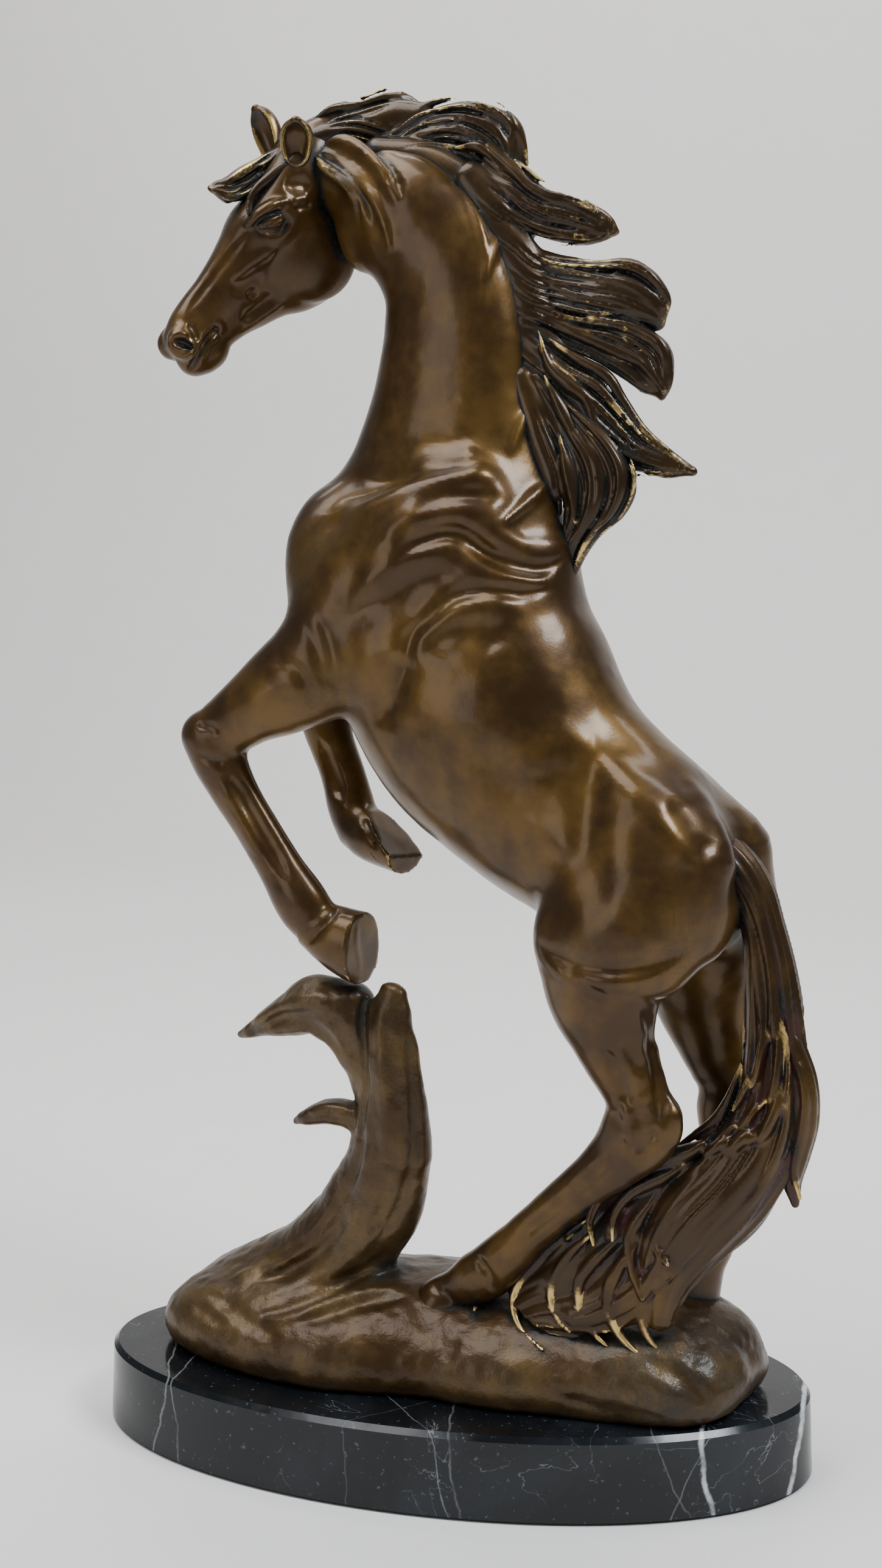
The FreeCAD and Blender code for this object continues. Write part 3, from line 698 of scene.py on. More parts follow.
def shape_cheek(clay, side):
    """One cheek: the round jaw muscle, the facial crest and the hollows below it."""
    clay.add(ball((24.5, side * 5.2, -20.6), (14.6, 5.4, 15.4), (1, 0, 0)), 3)
    press_side(clay, side, [
        ([(32, -12), (38, -9.8), (44, -8.4), (49, -7.9)], 1.7, 1.2),
        ([(39, -13.4), (45, -11.6), (52, -10.6)], 2.6, -0.6),
        ([(44.4, -15.8), (48.8, -14.6)], 1.2, -0.8),
        ([(34, -3.2), (43, -3.4), (52, -4.0), (60, -4.4), (65, -4.9)], 1.4, -0.6),
        ([(40, -25), (46, -23.2), (52, -21.8), (58, -20.2)], 1.3, 0.5),
        ([(41, -21), (48, -19.4), (55, -17.8)], 1.8, -0.8),
    ])


def sculpt_head():
    """The head without ears and forelock, in its own frame."""
    clay = Clay((-20, -22, -42), (84, 22, 12), HEAD_GRAIN)
    clay.add(limb(SKULL, power=2.2, end_length=0.9, sides=64, step=1.2))
    clay.add(limb(JAW, power=2.3, end_length=0.9, sides=64, step=1.2), 6)
    clay.add(ball((71.8, 0, -15.4), (5, 4.6, 4.8), (0.2, 0, -1)), 4)
    clay.add(ball((67.4, 0, -18.8), (4.6, 3.8, 3.8), (1, 0, 0.1)), 3)
    for side in (1, -1):
        shape_cheek(clay, side)
        shape_eye(clay, side)
        shape_muzzle(clay, side)
    return clay


# One row for each ear: middle of its root, tip, and the way its hollow faces, in the head's frame.
EARS = {
    "left_ear": ((8.8, 9.0, 0.0), (1.8, 13.0, 8.0), (0.45, 0.85, 0.25)),
    "right_ear": ((6.8, -7.6, 2.6), (-0.2, -10.8, 14.8), (0.8, 0.45, 0.4)),
}


def sculpt_ear(name):
    """A thin pointed cup with a turned rim."""
    root, tip, facing = (np.array(row, float) for row in EARS[name])
    length = np.linalg.norm(tip - root)
    axis = unit(tip - root)
    facing = unit(facing - (facing @ axis) * axis)
    side = np.cross(axis, facing)
    clay = Clay(np.minimum(root, tip) - 8, np.maximum(root, tip) + 8, EAR_GRAIN)

    def leaf(profile, forward, thin):
        rows = []
        for share, width, depth, lean in profile:
            place = root + axis * share * length + facing * (forward + lean)
            rows.append((*place, max(width - thin, 0.3), max(depth - thin, 0.3)))
        return limb(rows, side, step=0.8, end_length=0.8)

    outer = [(-0.12, 3.4, 3.2, 0), (0.12, 4.3, 3.7, 0), (0.38, 4.9, 3.8, -0.3), (0.62, 4.8, 3.3, -0.4),
             (0.83, 3.7, 2.4, 0), (0.98, 1.5, 1.1, 0.7)]
    clay.add(leaf(outer, 0, 0))
    clay.carve(leaf(outer[1:-1], 2.3, 1.1), 0.7)
    clay.carve(leaf(outer[1:-2], 4.2, 0.9), 0.7)
    return clay


def placed(marks, left, plane=0.0):
    """Marks (forward, up) read on an upright plane, moved along the line of sight to left."""
    marks = np.array([(s, plane, z) for s, z in marks], float)
    left = np.broadcast_to(np.asarray(left, float), len(marks))
    share = (EYE[1] - left) / (EYE[1] - plane)
    return EYE + (marks - EYE) * share[:, None]


def evenly(points, count):
    """Points along a line, respaced to a given count."""
    line = smooth_path(points, 1.0)
    run = np.append(0, np.cumsum(np.linalg.norm(np.diff(line, axis=0), axis=1)))
    places = np.linspace(0, run[-1], count)
    return np.stack([np.interp(places, run, line[:, axis]) for axis in range(3)], 1)


# A ribbon has this many cross-sections, each with this many points.
RIBBON_RINGS = 40
RIBBON_SIDES = 144


def ribbon(clay, upper, lower, thick, grooves, rng, blend=1.2, sway=1.2, tip=0.45, combed=1.5):
    """A flat lock between two edges: a sheet with fine grooves and a few broad strands on it."""
    upper = evenly(upper, RIBBON_RINGS)
    lower = evenly(lower, RIBBON_RINGS)
    share = np.linspace(0, 1, RIBBON_RINGS)
    middle = (upper + lower) / 2
    middle = middle + np.outer(sway * np.sin(share * 5 + rng.uniform(0, 6)), SIDEWAYS)
    half = np.linalg.norm(upper - lower, axis=1) / 2
    swell = thick * (1 - (1 - tip) * share**2)
    phases = rng.uniform(0, 6.28, 3)

    def ring(place, scale):
        turn = np.linspace(0, 2 * math.pi, RIBBON_SIDES, endpoint=False)
        spot = np.sin(turn) + 0.12 * math.sin(place * 0.27 + phases[0])
        ripple = np.cos(spot * grooves * math.pi + phases[1])
        ripple = ripple + 0.5 * np.cos(spot * grooves * 2.3 * math.pi + phases[2] + place * 0.18)
        scale = scale * (1 + 0.1 * ripple)[:, None]
        edge = unit(lower[place] - upper[place] + 1e-6) * max(half[place], 0.8)
        out = np.asarray(SIDEWAYS, float) * swell[place]
        return middle[place] + scale * (np.cos(turn)[:, None] * out + np.sin(turn)[:, None] * edge)

    last = RIBBON_RINGS - 1
    rings = [ring(0, 0.6)] + [ring(place, 1.0) for place in range(RIBBON_RINGS)] + [ring(last, 0.6)]
    step = unit(middle[-1] - middle[-2]) * 0.8
    rings[0] = rings[0] - unit(middle[1] - middle[0])
    rings[-1] = rings[-1] + step
    clay.add(skin(rings, middle[0] - 1.4 * unit(middle[1] - middle[0]), middle[-1] + 1.6 * step), blend)
    strands = max(2, round(grooves * 0.6))
    for number in range(strands):
        place = (number + 0.5 + rng.uniform(-0.15, 0.15)) / strands
        path = upper * (1 - place) + lower * place
        path = path + (middle - (upper + lower) / 2)
        wave = 0.35 * half * np.sin(share * 4 + rng.uniform(0, 6)) / strands
        path = path + (lower - upper) / (2 * half[:, None] + 1e-6) * wave[:, None]
        wide = np.maximum(half / strands * 0.75, 0.7)
        deep = swell * (1.16 + rng.uniform(-0.1, 0.12)) * np.clip((1.02 - share) / 0.2, 0.4, 1)
        clay.add(limb(np.column_stack([path, deep, wide]), step=1.0, sides=24), 1.4)
    clay.comb(upper, lower, round(grooves * combed), rng)


def ropes(clay, strands, plane, blend=1.5):
    """Single strands: rows of (marks, left, radius at the root, radius at the tip)."""
    for marks, left, root, tip in strands:
        left = np.linspace(*left, len(marks))
        rope(clay, placed(marks, left, plane), root, tip, blend)


def rope_radius(count, root, tip):
    """How thick a strand is along its length: thin at its root, then thick, then thin to its tip."""
    share = np.linspace(0, 1, count)
    rise = np.sin(np.clip(share / 0.4, 0, 1) * math.pi / 2)
    return root * rise * (1 - share) ** 0.7 + tip * (0.4 + 0.6 * rise)


def rope(clay, points, root, tip, blend=1.5):
    """One strand along points, as thick as rope_radius says."""
    radius = rope_radius(len(points), root, tip)
    clay.add(limb(np.column_stack([points, radius, radius]), step=1.0, sides=16), blend)


# ---- the forelock, in the head's frame: marks (along, out) ----
FORELOCK_TOP = [(6, 4.4), (13, 6.0), (19, 8.0), (25, 9.8), (28, 11.6), (30, 12.2)]
FORELOCK_UNDER = [(12, 0.0), (18, 1.0), (24, 1.8), (28.6, 3.0), (31.2, 5.8), (31.2, 10.2)]
FORELOCK_STRAND = [
    (11, 9.5, 0.2), (14, 8.4, 1.6), (19, 8.2, 2.4), (24, 7.6, 3.0), (28, 7.8, 2.2), (30.6, 8.6, 0.4),
]


def sculpt_forelock():
    """The lock that is blown up off the forehead, with a thin second strand beside it."""
    rng = np.random.default_rng(5)
    clay = Clay((-2, -14, -8), (40, 16, 18), FORELOCK_GRAIN)
    upper = [(along, -1.5, out) for along, out in FORELOCK_TOP]
    lower = [(along, 0.5, out) for along, out in FORELOCK_UNDER]
    ribbon(clay, upper, lower, 5.2, 4, rng, sway=0.5, tip=0.3)
    rope(clay, np.array(FORELOCK_STRAND), 1.0, 0.8, 0.8)
    return clay


# ---- the mane: marks are read on the upright plane through the middle of its locks ----
HAIR_PLANE = -6.0
# Each lock: upper edge, lower edge, left at the root and at the tip, grooves, half thickness.
MANE = {
    "mane_poll_lock": [
        ([(62, 402), (56, 405.5), (50, 406), (44, 406.5), (37, 408), (31, 406.5), (26.5, 402.5)],
         [(61, 396), (55, 397.5), (50, 398), (45, 398), (40, 398.5), (35, 400), (30, 401)],
         (2, -7), 4, 3.4),
        ([(63, 398), (57, 400), (50, 401), (43, 400), (36, 397), (31, 394)],
         [(61, 392), (55, 393), (49, 393.5), (43, 392), (38, 390), (33, 389)],
         (4, -2), 3, 3.4),
    ],
    "mane_crest_lock": [
        ([(36, 395), (27, 400), (18, 402), (9, 402), (1, 399.5), (-4.5, 395), (-6.5, 389), (-7, 383)],
         [(32, 387), (24, 388), (17, 387), (10, 384), (5, 380), (2, 375), (0, 370), (-1, 365)],
         (-1, -8), 7, 3.6),
    ],
    "mane_upper_lock": [
        ([(3, 390), (-6, 383), (-11, 378), (-16.4, 374.6), (-24, 371.7), (-30, 367.8), (-34.4, 364),
          (-35.4, 361)],
         [(8, 374), (1, 368), (-6, 363), (-13, 359.5), (-19, 358), (-26, 357.5), (-32, 358.7),
           (-35, 360.4)],
         (-2, -9), 5, 3.4),
    ],
    "mane_middle_lock": [
        ([(5, 372), (-6, 363), (-12, 357.5), (-20, 354.5), (-30, 353), (-40, 352), (-46, 349.2),
          (-50, 344.8), (-52, 340), (-50, 334.8)],
         [(4, 350), (-4, 345), (-12, 340), (-20, 337), (-28, 334), (-36, 332), (-43, 331.6),
          (-48, 332), (-49.5, 333.6)],
         (-1, -10), 6, 3.4),
        ([(0, 352), (-10, 345), (-20, 340), (-30, 338), (-40, 336.5), (-48, 333), (-52.4, 328.6),
          (-53.4, 322.6), (-52.8, 316.6), (-50.8, 314.4)],
         [(-2, 334), (-12, 333), (-20, 329), (-28, 325), (-34, 321), (-39, 318), (-43, 316),
          (-47, 315), (-50, 314.2)],
         (-1, -9), 5, 3.2),
    ],
    "mane_lower_lock": [
        ([(-2, 342), (-12, 334), (-22, 326.5), (-32, 321), (-38.5, 313.5), (-45, 305), (-53, 299),
          (-59.5, 294)],
         [(-4, 318), (-14, 310), (-22, 303), (-30, 298), (-38, 294), (-45, 292.5), (-52, 292),
          (-59, 292.8)],
         (0, -7), 7, 3.2),
    ],
    "mane_withers_lock": [
        ([(-14, 322), (-28, 310), (-37, 302), (-41.5, 295), (-41.5, 288), (-38, 281.5), (-32, 276.5),
          (-27, 270), (-23.5, 262), (-22, 256)],
         [(-8, 322), (-12, 312), (-15.5, 303), (-18.5, 295), (-20, 287), (-20, 280), (-19.5, 273),
          (-19.5, 266), (-20.5, 260), (-21.5, 255)],
         (0, -1), 5, 3.2),
    ],
}
# Single strands: marks, left at the root and at the tip, radius at the root, radius at the tip.
MANE_ROPES = {
    "mane_poll_lock": [
        ([(41, 393.5), (35, 395), (30, 398), (24, 402), (17, 403)], (2, -4), 1.2, 0.7),
        ([(58, 404), (51, 404), (45, 402.5), (39, 404)], (3, -3), 1.5, 0.9),
    ],
    "mane_crest_lock": [
        ([(22, 394), (12, 396), (4, 394.5), (0, 390), (-2, 384), (-4, 379)], (-2, -4), 1.3, 0.7),
        ([(15, 389), (8, 388.5), (3.5, 385.5), (1, 382)], (1, -1), 1.4, 0.6),
        ([(-3.5, 393), (-3, 388), (-2.5, 384), (-6, 379.5), (-11.5, 376)], (-4, -6), 1.2, 0.6),
    ],
    "mane_upper_lock": [
        ([(-2, 380), (-8, 376), (-15, 372), (-23, 368.5), (-31, 364)], (-3, -6), 1.4, 0.7),
        ([(-4, 372), (-11, 366), (-18, 363), (-26, 361), (-33, 360.5)], (-3, -7), 1.2, 0.5),
    ],
    "mane_middle_lock": [
        ([(-2.4, 365), (-5.8, 357), (-11, 351.5), (-20, 346), (-28.5, 341),
          (-36, 338.5)], (1, -5), 1.5, 0.5),
        ([(-7, 365), (-10.4, 358.3), (-14, 355.3), (-24, 352.8), (-32, 351)], (-1, -6), 1.3, 0.6),
        ([(-24, 349), (-31, 347), (-38, 347.5), (-45, 346), (-50, 339)], (-5, -7), 1.1, 0.6),
        ([(-8.5, 350), (-14, 340), (-22, 334.5), (-30, 330.5), (-38, 326.5), (-45, 323), (-50.5, 316)],
         (0, -6), 1.5, 0.7),
        ([(-34, 338), (-42, 334), (-48.5, 328), (-51.6, 319)], (-5, -7), 1.2, 0.7),
        ([(-28, 330), (-36, 325), (-43, 319.5)], (-4, -6), 1.1, 0.6),
    ],
    "mane_lower_lock": [
        ([(-16, 332), (-24, 326.5), (-33.4, 321), (-38.5, 314), (-44.5, 306),
          (-52, 299.5)], (1, -5), 1.4, 0.6),
        ([(-12, 335), (-15.5, 325), (-22, 319), (-27, 315.3), (-29.5, 309), (-31, 302.5), (-29.5, 299)],
         (3, -1), 1.9, 0.5),
        ([(-14, 322), (-19, 313), (-24, 304), (-27, 296)], (3, 1), 1.9, 0.7),
    ],
    "mane_withers_lock": [
        ([(-19, 305), (-21, 296), (-23, 287), (-24, 280)], (4, 3), 1.7, 0.5),
        ([(-28, 305), (-31, 296), (-31, 287), (-27, 280), (-22, 273), (-19.5, 267)], (2, 2), 1.7, 0.5),
        ([(-41, 297), (-41.6, 289), (-38, 282.3), (-32, 278), (-26.5, 271),
          (-22.5, 262)], (-1, 0), 1.3, 0.5),
        ([(-38, 300), (-37, 291), (-33, 284), (-29, 279)], (0, 0), 1.2, 0.5),
    ],
}
# A hidden root joins the locks to the crest of the neck.
MANE_ROOTS = {
    "mane_poll_lock": [(58, 4, 392, 8, 4), (46, 0, 395, 7, 6), (34, -3, 398, 5.6, 6),
    (25, -4, 398, 4.4, 4.6)],
    "mane_crest_lock": [(36, 1, 388, 7, 5), (22, -2, 384, 7, 7), (8, -3, 376, 6, 7)],
    "mane_upper_lock": [(8, -1, 378, 5, 6), (-1, -2, 366, 5, 8), (-9, -4, 364, 4, 5)],
    "mane_middle_lock": [(4, -1, 366, 5, 7), (-6, -2, 352, 5, 9), (-11, -2, 337, 5, 8)],
    "mane_lower_lock": [(-4, -1, 338, 5, 6), (-13, -3, 327, 5, 10), (-20, -3, 318, 4.5, 8.5),
                        (-20, -1, 306, 4, 7)],
    "mane_withers_lock": [(-10, 0, 320, 5, 5), (-16, 0, 304, 5, 6), (-22, 0, 290, 4.5, 7)],
}


def sculpt_mane_lock(name):
    """One lock of the mane, built from strands."""
    rng = np.random.default_rng(len(name) * 7 + 3)
    spots = [placed(edge, 0, HAIR_PLANE) for part in MANE[name] for edge in part[:2]]
    spots += [placed(row[0], 0, HAIR_PLANE) for row in MANE_ROPES[name]]
    spots = np.vstack(spots)
    low = [spots[:, 0].min() - 8, -22, spots[:, 2].min() - 8]
    high = [spots[:, 0].max() + 8, 20, spots[:, 2].max() + 8]
    clay = Clay(low, high, CLAY_GRAIN)
    clay.add(limb(MANE_ROOTS[name]), 2)
    for upper, lower, left, grooves, thick in MANE[name]:
        upper = placed(upper, np.linspace(*left, len(upper)), HAIR_PLANE)
        lower = placed(lower, np.linspace(*left, len(lower)), HAIR_PLANE)
        ribbon(clay, upper, lower, thick, grooves, rng)
    ropes(clay, MANE_ROPES[name], HAIR_PLANE)
    return clay


# ---- the tail: marks are read on the upright plane through the horse's middle ----
TAIL_CORE = [
    (-58, 0, 196, 4, 4), (-67, 0, 190.5, 6, 6), (-75, 0, 184.5, 6.6, 6.6), (-80.6, 0, 177, 6.4, 6.4),
    (-84, 0, 168, 6.2, 6), (-86, 0, 158, 6.6, 7), (-87.4, 0, 147, 7.2, 8), (-88.4, 0, 135, 7.6, 9),
    (-88.4, 1, 124, 8, 10.4), (-86, 4, 111, 8.2, 12), (-79.5, 8, 98.5, 8.2, 13), (-71, 11.5, 88, 7.8, 13.4),
    (-65.5, 12.6, 79, 7.4, 12), (-62, 13, 70, 6.6, 9.4), (-60.6, 13, 62, 5.4, 6.6), (-60, 12.6, 56, 4.4, 5),
]
# The sheet of hair between the tail, the near hind leg and the ground: its two edges.
TAIL_SKIRT_TOP = [(-70, 106), (-55, 99), (-41, 90), (-32, 80), (-23, 69), (-15, 58), (-7, 48)]
TAIL_SKIRT_FOOT = [(-76, 78), (-68, 66), (-60, 56), (-52, 48), (-42, 42), (-32, 39), (-20, 38)]
TAIL_ROPES = [
    ([(-84, 168), (-81.6, 150), (-81, 138), (-80, 128), (-76, 118.5), (-71.5, 111.5), (-66, 106.5),
      (-60, 101.5)], (2, 9), 2.2, 0.6),
    ([(-84, 168), (-87, 150), (-86, 137), (-83, 127.5), (-79, 119), (-73, 111)], (4, 11), 2.6, 0.6),
    ([(-92, 140), (-91.6, 126), (-88.5, 115), (-81.3, 107), (-64.8, 101), (-47.7, 93.4), (-38.9, 86.4),
      (-35, 80.1), (-33.2, 74.5), (-34.4, 67.6)], (7, 22), 3.0, 0.5),
    ([(-86, 110), (-77, 102), (-66, 97), (-55, 91.5), (-46, 85.4), (-41, 78),
      (-40.4, 70)], (10, 20), 2.6, 0.5),
    ([(-94, 106), (-87, 95), (-79.6, 88), (-69.3, 82.2), (-60.8, 78), (-55.7, 73), (-54.9, 69.2),
      (-57.8, 65.8)], (9, 21), 2.6, 0.6),
    ([(-92, 108), (-89, 96), (-85, 87), (-80, 79.5), (-73, 72.5), (-65.6, 65.4),
      (-61, 57)], (4, 13), 2.6, 0.8),
    ([(-92.6, 130), (-92, 118), (-90, 107), (-86, 98), (-79, 91), (-71, 86.5),
      (-63, 83)], (7, 15), 2.4, 0.6),
    ([(-80, 180), (-86.5, 167), (-90, 151), (-92.6, 137), (-93.4, 124), (-92, 112)], (0, 5), 2.4, 0.8),
    ([(-80, 178), (-83, 165), (-84.5, 150), (-84, 140)], (2, 5), 2.2, 0.8),
    ([(-89, 150), (-90, 136), (-88.5, 125), (-84, 116), (-77, 109.5), (-69, 104)], (6, 13), 2.2, 0.5),
    ([(-58, 88), (-50, 80), (-46, 72), (-47, 62), (-50, 54)], (14, 20), 2.2, 0.6),
]
# The rows of TAIL_ROPES whose lower ends are rubbed to brass.
RUBBED_TAIL_ROPES = (2, 4)
# Locks that lie on the ground: marks, and the radius near the root; they share the radius at the tip.
GROUND_LOCKS = [
    ([(-33, 76), (-24, 67.7), (-16, 60), (-10, 51), (-8.4, 44), (-11, 37), (-18, 32)], 2.2),
    ([(-34, 71), (-27.9, 64.9), (-23, 57), (-20.6, 50.5), (-22.4, 44), (-27, 39.4)], 1.7),
    ([(-44, 73), (-38, 66.7), (-33.6, 61.6), (-30, 55.4), (-30, 48.4), (-33.4, 42), (-39, 37.4)], 2.0),
    ([(-48, 70), (-43, 63), (-39.6, 55), (-39.8, 47.4), (-44, 40.6), (-52, 35)], 2.1),
    ([(-56, 70), (-53.5, 62), (-50, 55), (-49.6, 48), (-52.4, 42), (-58, 37.4)], 2.0),
    ([(-28, 70), (-22.2, 65), (-14, 60.6), (-5, 53), (2, 46), (5, 40)], 1.6),
]
GROUND_LOCK_TIP = 0.5
OUTER_LOCK = [
    (-92, 2, 136, 4, 5), (-96, 2.5, 126, 4.2, 5), (-97.2, 3, 116, 4.2, 4.6), (-96, 3.5, 107, 3.8, 4),
    (-95, 4, 99, 3, 2.9), (-96.2, 4.5, 92, 1.2, 1.2),
]


def strand_relief(grooves, height, seed):
    """Fine grooves that follow a form's length, for limb."""
    phases = np.random.default_rng(seed).uniform(0, 6.28, 3)

    def relief(along, turn):
        drift = 0.5 * math.sin(along * 5 + phases[0])
        ripple = np.cos(turn * grooves + drift + phases[1])
        ripple = ripple + 0.5 * np.cos(turn * (2 * grooves + 1) - drift + phases[2])
        return 1 + height * ripple

    return relief


def sculpt_tail(ground):
    """The tail, its skirt of hair behind the near leg, and the locks on the ground."""
    clay = Clay((-106, -16, 27), (8, 44, 200), CLAY_GRAIN)
    clay.add(limb(TAIL_CORE, step=1.2, sides=144, relief=strand_relief(13, 0.035, 1)), 2)
    rng = np.random.default_rng(21)
    top = placed(TAIL_SKIRT_TOP, np.linspace(8, 14, len(TAIL_SKIRT_TOP)))
    foot = placed(TAIL_SKIRT_FOOT, np.linspace(11, 19, len(TAIL_SKIRT_FOOT)))
    ribbon(clay, top, foot, 5.0, 4, rng, blend=3, sway=0.4, tip=0.7, combed=1.0)
    ropes(clay, TAIL_ROPES, 0.0, 2.0)
    comb_tail(clay)
    both = Clay((-106, -48, 25), (102, 50, 100), GROUND_GRAIN)
    x, y, z = both.places(whole(both))
    spots = np.stack(np.broadcast_arrays(x, y, z), -1)
    both.distance = np.minimum(clay.sample(spots), ground.sample(spots)).astype(np.float32)
    for marks, root in GROUND_LOCKS:
        line = both.settled(marks, 0.0, 60.0)
        rope(clay, line, root, GROUND_LOCK_TIP, 0.8)
        clay.rubbed.append((line, rope_radius(len(line), root, GROUND_LOCK_TIP)))
    for row in RUBBED_TAIL_ROPES:
        marks, left, root, _ = TAIL_ROPES[row]
        line = smooth_path(placed(marks, np.linspace(*left, len(marks))), 1.5)
        clay.rubbed.append((line, rope_radius(len(line), root * 0.8, 0.4)))
    return clay


def comb_tail(clay):
    """Grooves that run down the tail and turn with it."""
    rng = np.random.default_rng(12)
    path = smooth_path(TAIL_CORE, 1.5)
    centre, half = path[:, :3], path[:, 4:5]
    run = unit(np.gradient(centre, axis=0))
    across = unit(np.stack([run[:, 2], 0 * run[:, 0], -run[:, 0]], 1))
    clay.comb(centre + across * half * 0.9, centre - across * half * 0.9, 6, rng, 1.0, 1.2)


def whole(clay):
    """The whole of a block, as slices."""
    return tuple(slice(0, int(size)) for size in clay.shape)


def sculpt_outer_lock():
    """The lock that stands off behind the tail."""
    clay = Clay((-106, -8, 86), (-84, 16, 144), CLAY_GRAIN)
    clay.add(limb(OUTER_LOCK, step=1.0, sides=96, relief=strand_relief(9, 0.05, 4)), 1)
    ropes(clay, [([(-95.5, 130), (-97, 121), (-96.5, 113), (-95.2, 106), (-94.4, 99.5), (-96.2, 92)],
                  (6, 7), 1.0, 0.6)], 0.0)
    return clay


# ---- the ground and the wave ----
def to_base(points):
    """Places in the horse's frame, moved to the frame of the base."""
    points = np.asarray(points, float)
    cos, sin = math.cos(HORSE_TURN), math.sin(HORSE_TURN)
    turned = points @ np.array([[cos, sin, 0], [-sin, cos, 0], [0, 0, 1]])
    return turned + [HORSE_OFFSET, 0, 0]


def from_base(points):
    """Places in the frame of the base, moved to the horse's frame."""
    points = np.asarray(points, float) - [HORSE_OFFSET, 0, 0]
    cos, sin = math.cos(HORSE_TURN), math.sin(HORSE_TURN)
    return points @ np.array([[cos, -sin, 0], [sin, cos, 0], [0, 0, 1]])


GROUND_LEVEL = 25.0
# Rise above the marble, half length, half width, middle x.
MOUND_LEVELS = [
    (0, 90.5, 34.5, 2), (2, 93, 36.4, 2), (6, 94.6, 37.4, 2), (11, 93.6, 36.6, 2), (16, 89, 33, 2),
    (20.5, 81, 27.4, 3), (24, 70, 20.5, 5), (26.5, 54, 13, 8), (27.6, 34, 6, 10),
]


def mound_mesh():
    """The smooth heap: outlines stacked on a flat underside, pinched at the middle of the front."""
    turn = np.linspace(0, 2 * math.pi, 96, endpoint=False)
    from_front = np.angle(np.exp(1j * (turn - math.radians(266)))) / math.radians(13)
    pinch = 1 - 0.14 * np.exp(-from_front**2)
    rings = []
    for rise, length, width, middle in smooth_levels(MOUND_LEVELS):
        ring = np.stack([middle + length * np.cos(turn), width * pinch * np.sin(turn),
                         np.full(len(turn), GROUND_LEVEL + rise)], 1)
        rings.append(from_base(ring))
    first, last = MOUND_LEVELS[0], MOUND_LEVELS[-1]
    bottom = from_base([first[3], 0, GROUND_LEVEL])
    top = from_base([last[3], 0, GROUND_LEVEL + last[0] + 0.3])
    return skin(rings, bottom, top)


def smooth_levels(levels):
    """Levels of a heap with smooth ones between them."""
    rows = np.array([(rise, width, length, middle) for rise, length, width, middle in levels], float)
    return [(rise, length, width, middle) for rise, width, length, middle in smooth_path(rows, 1.5)]


WAVE_STEM = [
    (96, 6, 31, 12, 8), (86, 7, 37, 15, 10), (72, 8, 43.5, 16, 11.5), (57, 9, 51, 15, 13),
    (43, 11, 61.5, 13, 15), (33.4, 12.5, 73, 11.5, 15.4), (28.4, 13.5, 84, 10, 14.2),
    (26, 14.6, 95, 8.4, 12.6), (25.4, 15.4, 104, 7, 11), (25, 16, 112, 5, 8.6),
]
WAVE_LEAF = [
    (23.6, 16, 92, 7, 11.4), (23.6, 17, 106, 6.4, 10.8), (24.6, 17.5, 118, 5.8, 10),
    (25, 17.5, 128, 5, 8.6),
    (24.6, 17, 136, 4.2, 6.6), (23.8, 16.5, 141, 3, 4.4),
]
WAVE_CREST = [
    (32, 12, 96, 6, 6), (34.4, 12.5, 110, 6.4, 5.2), (36.8, 13.5, 121, 8.4, 7.4),
    (41.4, 15, 131, 10.5, 9.6),
    (50, 16, 134.4, 10.6, 9.4), (59, 16, 131, 9, 7.2), (68, 16, 127, 6.4, 4.6), (75, 16, 123.6, 3.6, 2.4),
    (79, 16, 121.8, 1.4, 1.1),
]
WAVE_CURL = [
    (33, 14, 97, 4, 4.4), (40, 15, 101, 4.8, 4.2), (48, 15.5, 101, 5.2, 3.8), (54.5, 15.5, 98.6, 3.8, 2.6),
    (59, 15.5, 96.6, 1.4, 1.1),
]


# The hollow that the crest is cupped around, on the viewer's side.
WAVE_DISH = [
    (73, 21, 124, 1.6, 1), (66, 26, 127, 4.4, 2.6), (57, 29.5, 129.6, 6.4, 4), (48, 30, 129, 7, 5),
    (41.5, 28, 123, 6, 4.6), (38, 25.4, 113, 5, 3.4), (37, 23.5, 102, 3.4, 2.2), (37.6, 22, 92, 1.6, 1.2),
]


